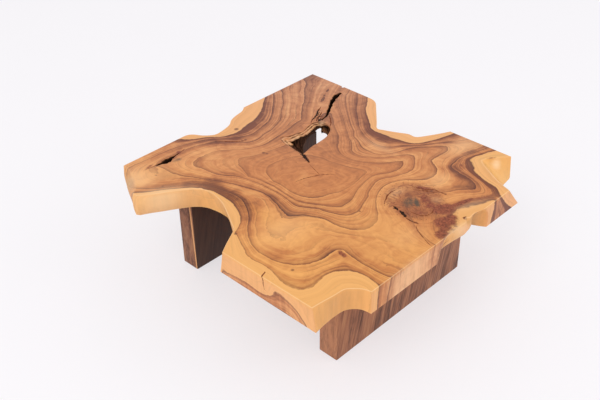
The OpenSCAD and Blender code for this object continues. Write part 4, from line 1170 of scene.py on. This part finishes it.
def painted_floor(tree, place, looks):
    """Matt pale floor paint with faint clouds 0.8 m across. It is seen with faint shadows, because
    part of what is seen is its plain colour."""
    cloud = add(tree, "TexNoise", {"Vector": place, "Scale": 1.3, "Detail": 3})
    colour = add(tree, "Mix", {0: cloud, 6: tuple(looks.floor), 7: linear("#F8F5F9")}, out=2,
                 data_type="RGBA")
    shader = add(tree, "BsdfPrincipled", {"Base Color": colour, "Roughness": 0.7, "IOR": 1.45})
    plain = add(tree, "Emission", {"Color": tuple(looks.floor), "Strength": 1.0})
    return add(tree, "MixShader", (seen_share(tree, FLOOR_PLAIN), shader, plain))


def seen_share(tree, share):
    """A share for the rays that come from the camera, a reflection or clear material, else 0."""
    rays = add(tree, "LightPath").node.outputs
    seen = rays["Is Camera Ray"]
    for kind in ("Is Glossy Ray", "Is Transmission Ray"):
        seen = add(tree, "Math", (seen, rays[kind]), operation="MAXIMUM")
    return add(tree, "Math", (seen, share), operation="MULTIPLY")


def studio_floor(looks):
    """A flat pale painted floor that runs well past the view."""
    mesh = bpy.data.meshes.new("floor")
    corners = [(a * FLOOR_REACH, b * FLOOR_REACH, 0) for a, b in ((-1, -1), (1, -1), (1, 1), (-1, 1))]
    mesh.from_pydata(corners, [], [(0, 1, 2, 3)])
    mesh.materials.append(material_of("pale_painted_floor", painted_floor, looks))
    floor = in_scene("floor", mesh)


def studio_light(looks):
    """Even light from all round, a large softbox high on the left and a weaker one at the front
    right. What the camera and shiny metal see past the floor is a pale backdrop."""
    world = bpy.data.worlds.new("studio")
    world.use_nodes = True
    tree = world.node_tree
    tree.nodes.clear()
    around = add(tree, "Background", {"Color": linear("#FFFFFF"), "Strength": looks.sky})
    backdrop = add(tree, "Background", {"Color": tuple(looks.floor), "Strength": 1.0})
    both = add(tree, "MixShader", (seen_share(tree, 1.0), around, backdrop))
    add(tree, "OutputWorld", {"Surface": both})
    bpy.context.scene.world = world
    for setting, (side, place) in SOFTBOXES.items():
        lamp = bpy.data.lights.new(setting + "_softbox", "AREA")
        lamp.shape, lamp.size, lamp.energy = "SQUARE", side, getattr(looks, setting)
        in_scene(setting + "_softbox", lamp).matrix_world = aimed(place, LIT_POINT)


def aimed(place, target):
    """The matrix of a lamp at a place that shines at a target: it looks along its own -Z."""
    away = np.array(place, float) - target
    away /= np.linalg.norm(away)
    side = np.cross((0.0, 0.0, 1.0), away)
    side /= np.linalg.norm(side)
    matrix = np.eye(4)
    matrix[:3] = np.column_stack([side, np.cross(away, side), away, place])
    return Matrix(matrix)


def photo_camera():
    """The camera of the photograph: turned by its yaw and pitch, then rolled about its own view."""
    yaw, pitch, roll = (math.radians(a) for a in (CAMERA_YAW, CAMERA_PITCH, CAMERA_ROLL))
    ahead = np.array([math.sin(yaw) * math.cos(pitch), math.cos(yaw) * math.cos(pitch), -math.sin(pitch)])
    right = np.array([math.cos(yaw), -math.sin(yaw), 0.0])
    up = np.cross(right, ahead)
    matrix = np.eye(4)
    matrix[:3] = np.column_stack([math.cos(roll) * right + math.sin(roll) * up,
                                  math.cos(roll) * up - math.sin(roll) * right, -ahead, CAMERA_AT])
    lens = bpy.data.cameras.new("camera")
    lens.sensor_width, lens.lens = 36.0, CAMERA_LENS
    camera = in_scene("camera", lens)
    camera.matrix_world = Matrix(matrix)
    bpy.context.scene.camera = camera


class ROOTTABLE_OT_slab(bpy.types.Operator):
    """Build the slab with its live edges, natural hole and drying cracks"""
    bl_idname = "root_table.slab"
    bl_label = "Slab"

    def execute(self, context):
        looks = context.scene.slab_looks
        slab = slab_piece(looks.gap * UNITS)
        slab.data.materials.append(material_of("oiled_root_flare_wood", slab_wood, looks))
        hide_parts("slab_top")
        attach(slab, "root")
        return {"FINISHED"}


class ROOTTABLE_OT_legs(bpy.types.Operator):
    """Build the two plank legs with eased edges"""
    bl_idname = "root_table.legs"
    bl_label = "Plank legs"

    def execute(self, context):
        looks = context.scene.leg_looks
        for side in ("front", "rear"):
            plank = eased_plank(side + "_plank", side + "_leg", looks.bevel)
            wood = material_of(side + "_oiled_plank_wood", plank_wood, looks, side + "_leg")
            plank.data.materials.append(wood)
            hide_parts(side + "_leg")
            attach(plank, "root")
        return {"FINISHED"}


class ROOTTABLE_OT_fittings(bpy.types.Operator):
    """Finish the bolts, washers, inserts, dowels and felt pads"""
    bl_idname = "root_table.fittings"
    bl_label = "Fittings"

    def execute(self, context):
        steel = material_of("zinc_plated_steel", zinc_steel)
        finishes = {"_bolt_": steel, "_washer_": steel, "_insert_": material_of("turned_brass", turned_brass),
                    "_dowel_": material_of("turned_beech", beech),
                    "_pad_": material_of("pressed_wool_felt", pressed_felt)}
        for name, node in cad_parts.items():
            for kind, material in finishes.items():
                if kind in name:
                    for slot in node.material_slots:
                        slot.material = material
        return {"FINISHED"}


class ROOTTABLE_OT_stage(bpy.types.Operator):
    """Set the pale floor, the soft studio light and the camera"""
    bl_idname = "root_table.stage"
    bl_label = "Floor, light and camera"

    def execute(self, context):
        looks = context.scene.stage_looks
        studio_floor(looks)
        studio_light(looks)
        photo_camera()
        context.scene.view_settings.view_transform = "Standard"
        return {"FINISHED"}


class ROOTTABLE_PT_panel(bpy.types.Panel):
    """Settings of the table's looks, and the steps that build it"""
    bl_label = "Live edge table"
    bl_idname = "ROOTTABLE_PT_panel"
    bl_space_type = "VIEW_3D"
    bl_region_type = "UI"
    bl_category = "Live edge table"

    def draw(self, context):
        for group, (settings, operators) in GROUPS.items():
            box = self.layout.box()
            for name in settings.__annotations__:
                box.prop(getattr(context.scene, group), name)
            for operator in operators:
                box.operator(operator.bl_idname)


# Each group of settings with its class and the steps that use it, in the order in which they run
GROUPS = {
    "slab_looks": (SlabLooks, [ROOTTABLE_OT_slab]),
    "leg_looks": (LegLooks, [ROOTTABLE_OT_legs, ROOTTABLE_OT_fittings]),
    "stage_looks": (StageLooks, [ROOTTABLE_OT_stage]),
}


def register():
    """Registers the settings, the steps and the panel."""
    for group, (settings, operators) in GROUPS.items():
        for kind in (settings, *operators):
            bpy.utils.register_class(kind)
        setattr(bpy.types.Scene, group, bpy.props.PointerProperty(type=settings))
    bpy.utils.register_class(ROOTTABLE_PT_panel)


def unregister():
    """Takes away all that register adds."""
    bpy.utils.unregister_class(ROOTTABLE_PT_panel)
    for group, (settings, operators) in GROUPS.items():
        delattr(bpy.types.Scene, group)
        for kind in (settings, *operators):
            bpy.utils.unregister_class(kind)


def main():
    """Builds the table and its stage."""
    register()
    bpy.ops.root_table.slab()
    bpy.ops.root_table.legs()
    bpy.ops.root_table.fittings()
    bpy.ops.root_table.stage()
    bpy.context.view_layer.update()


if __name__ == "__main__":
    main()
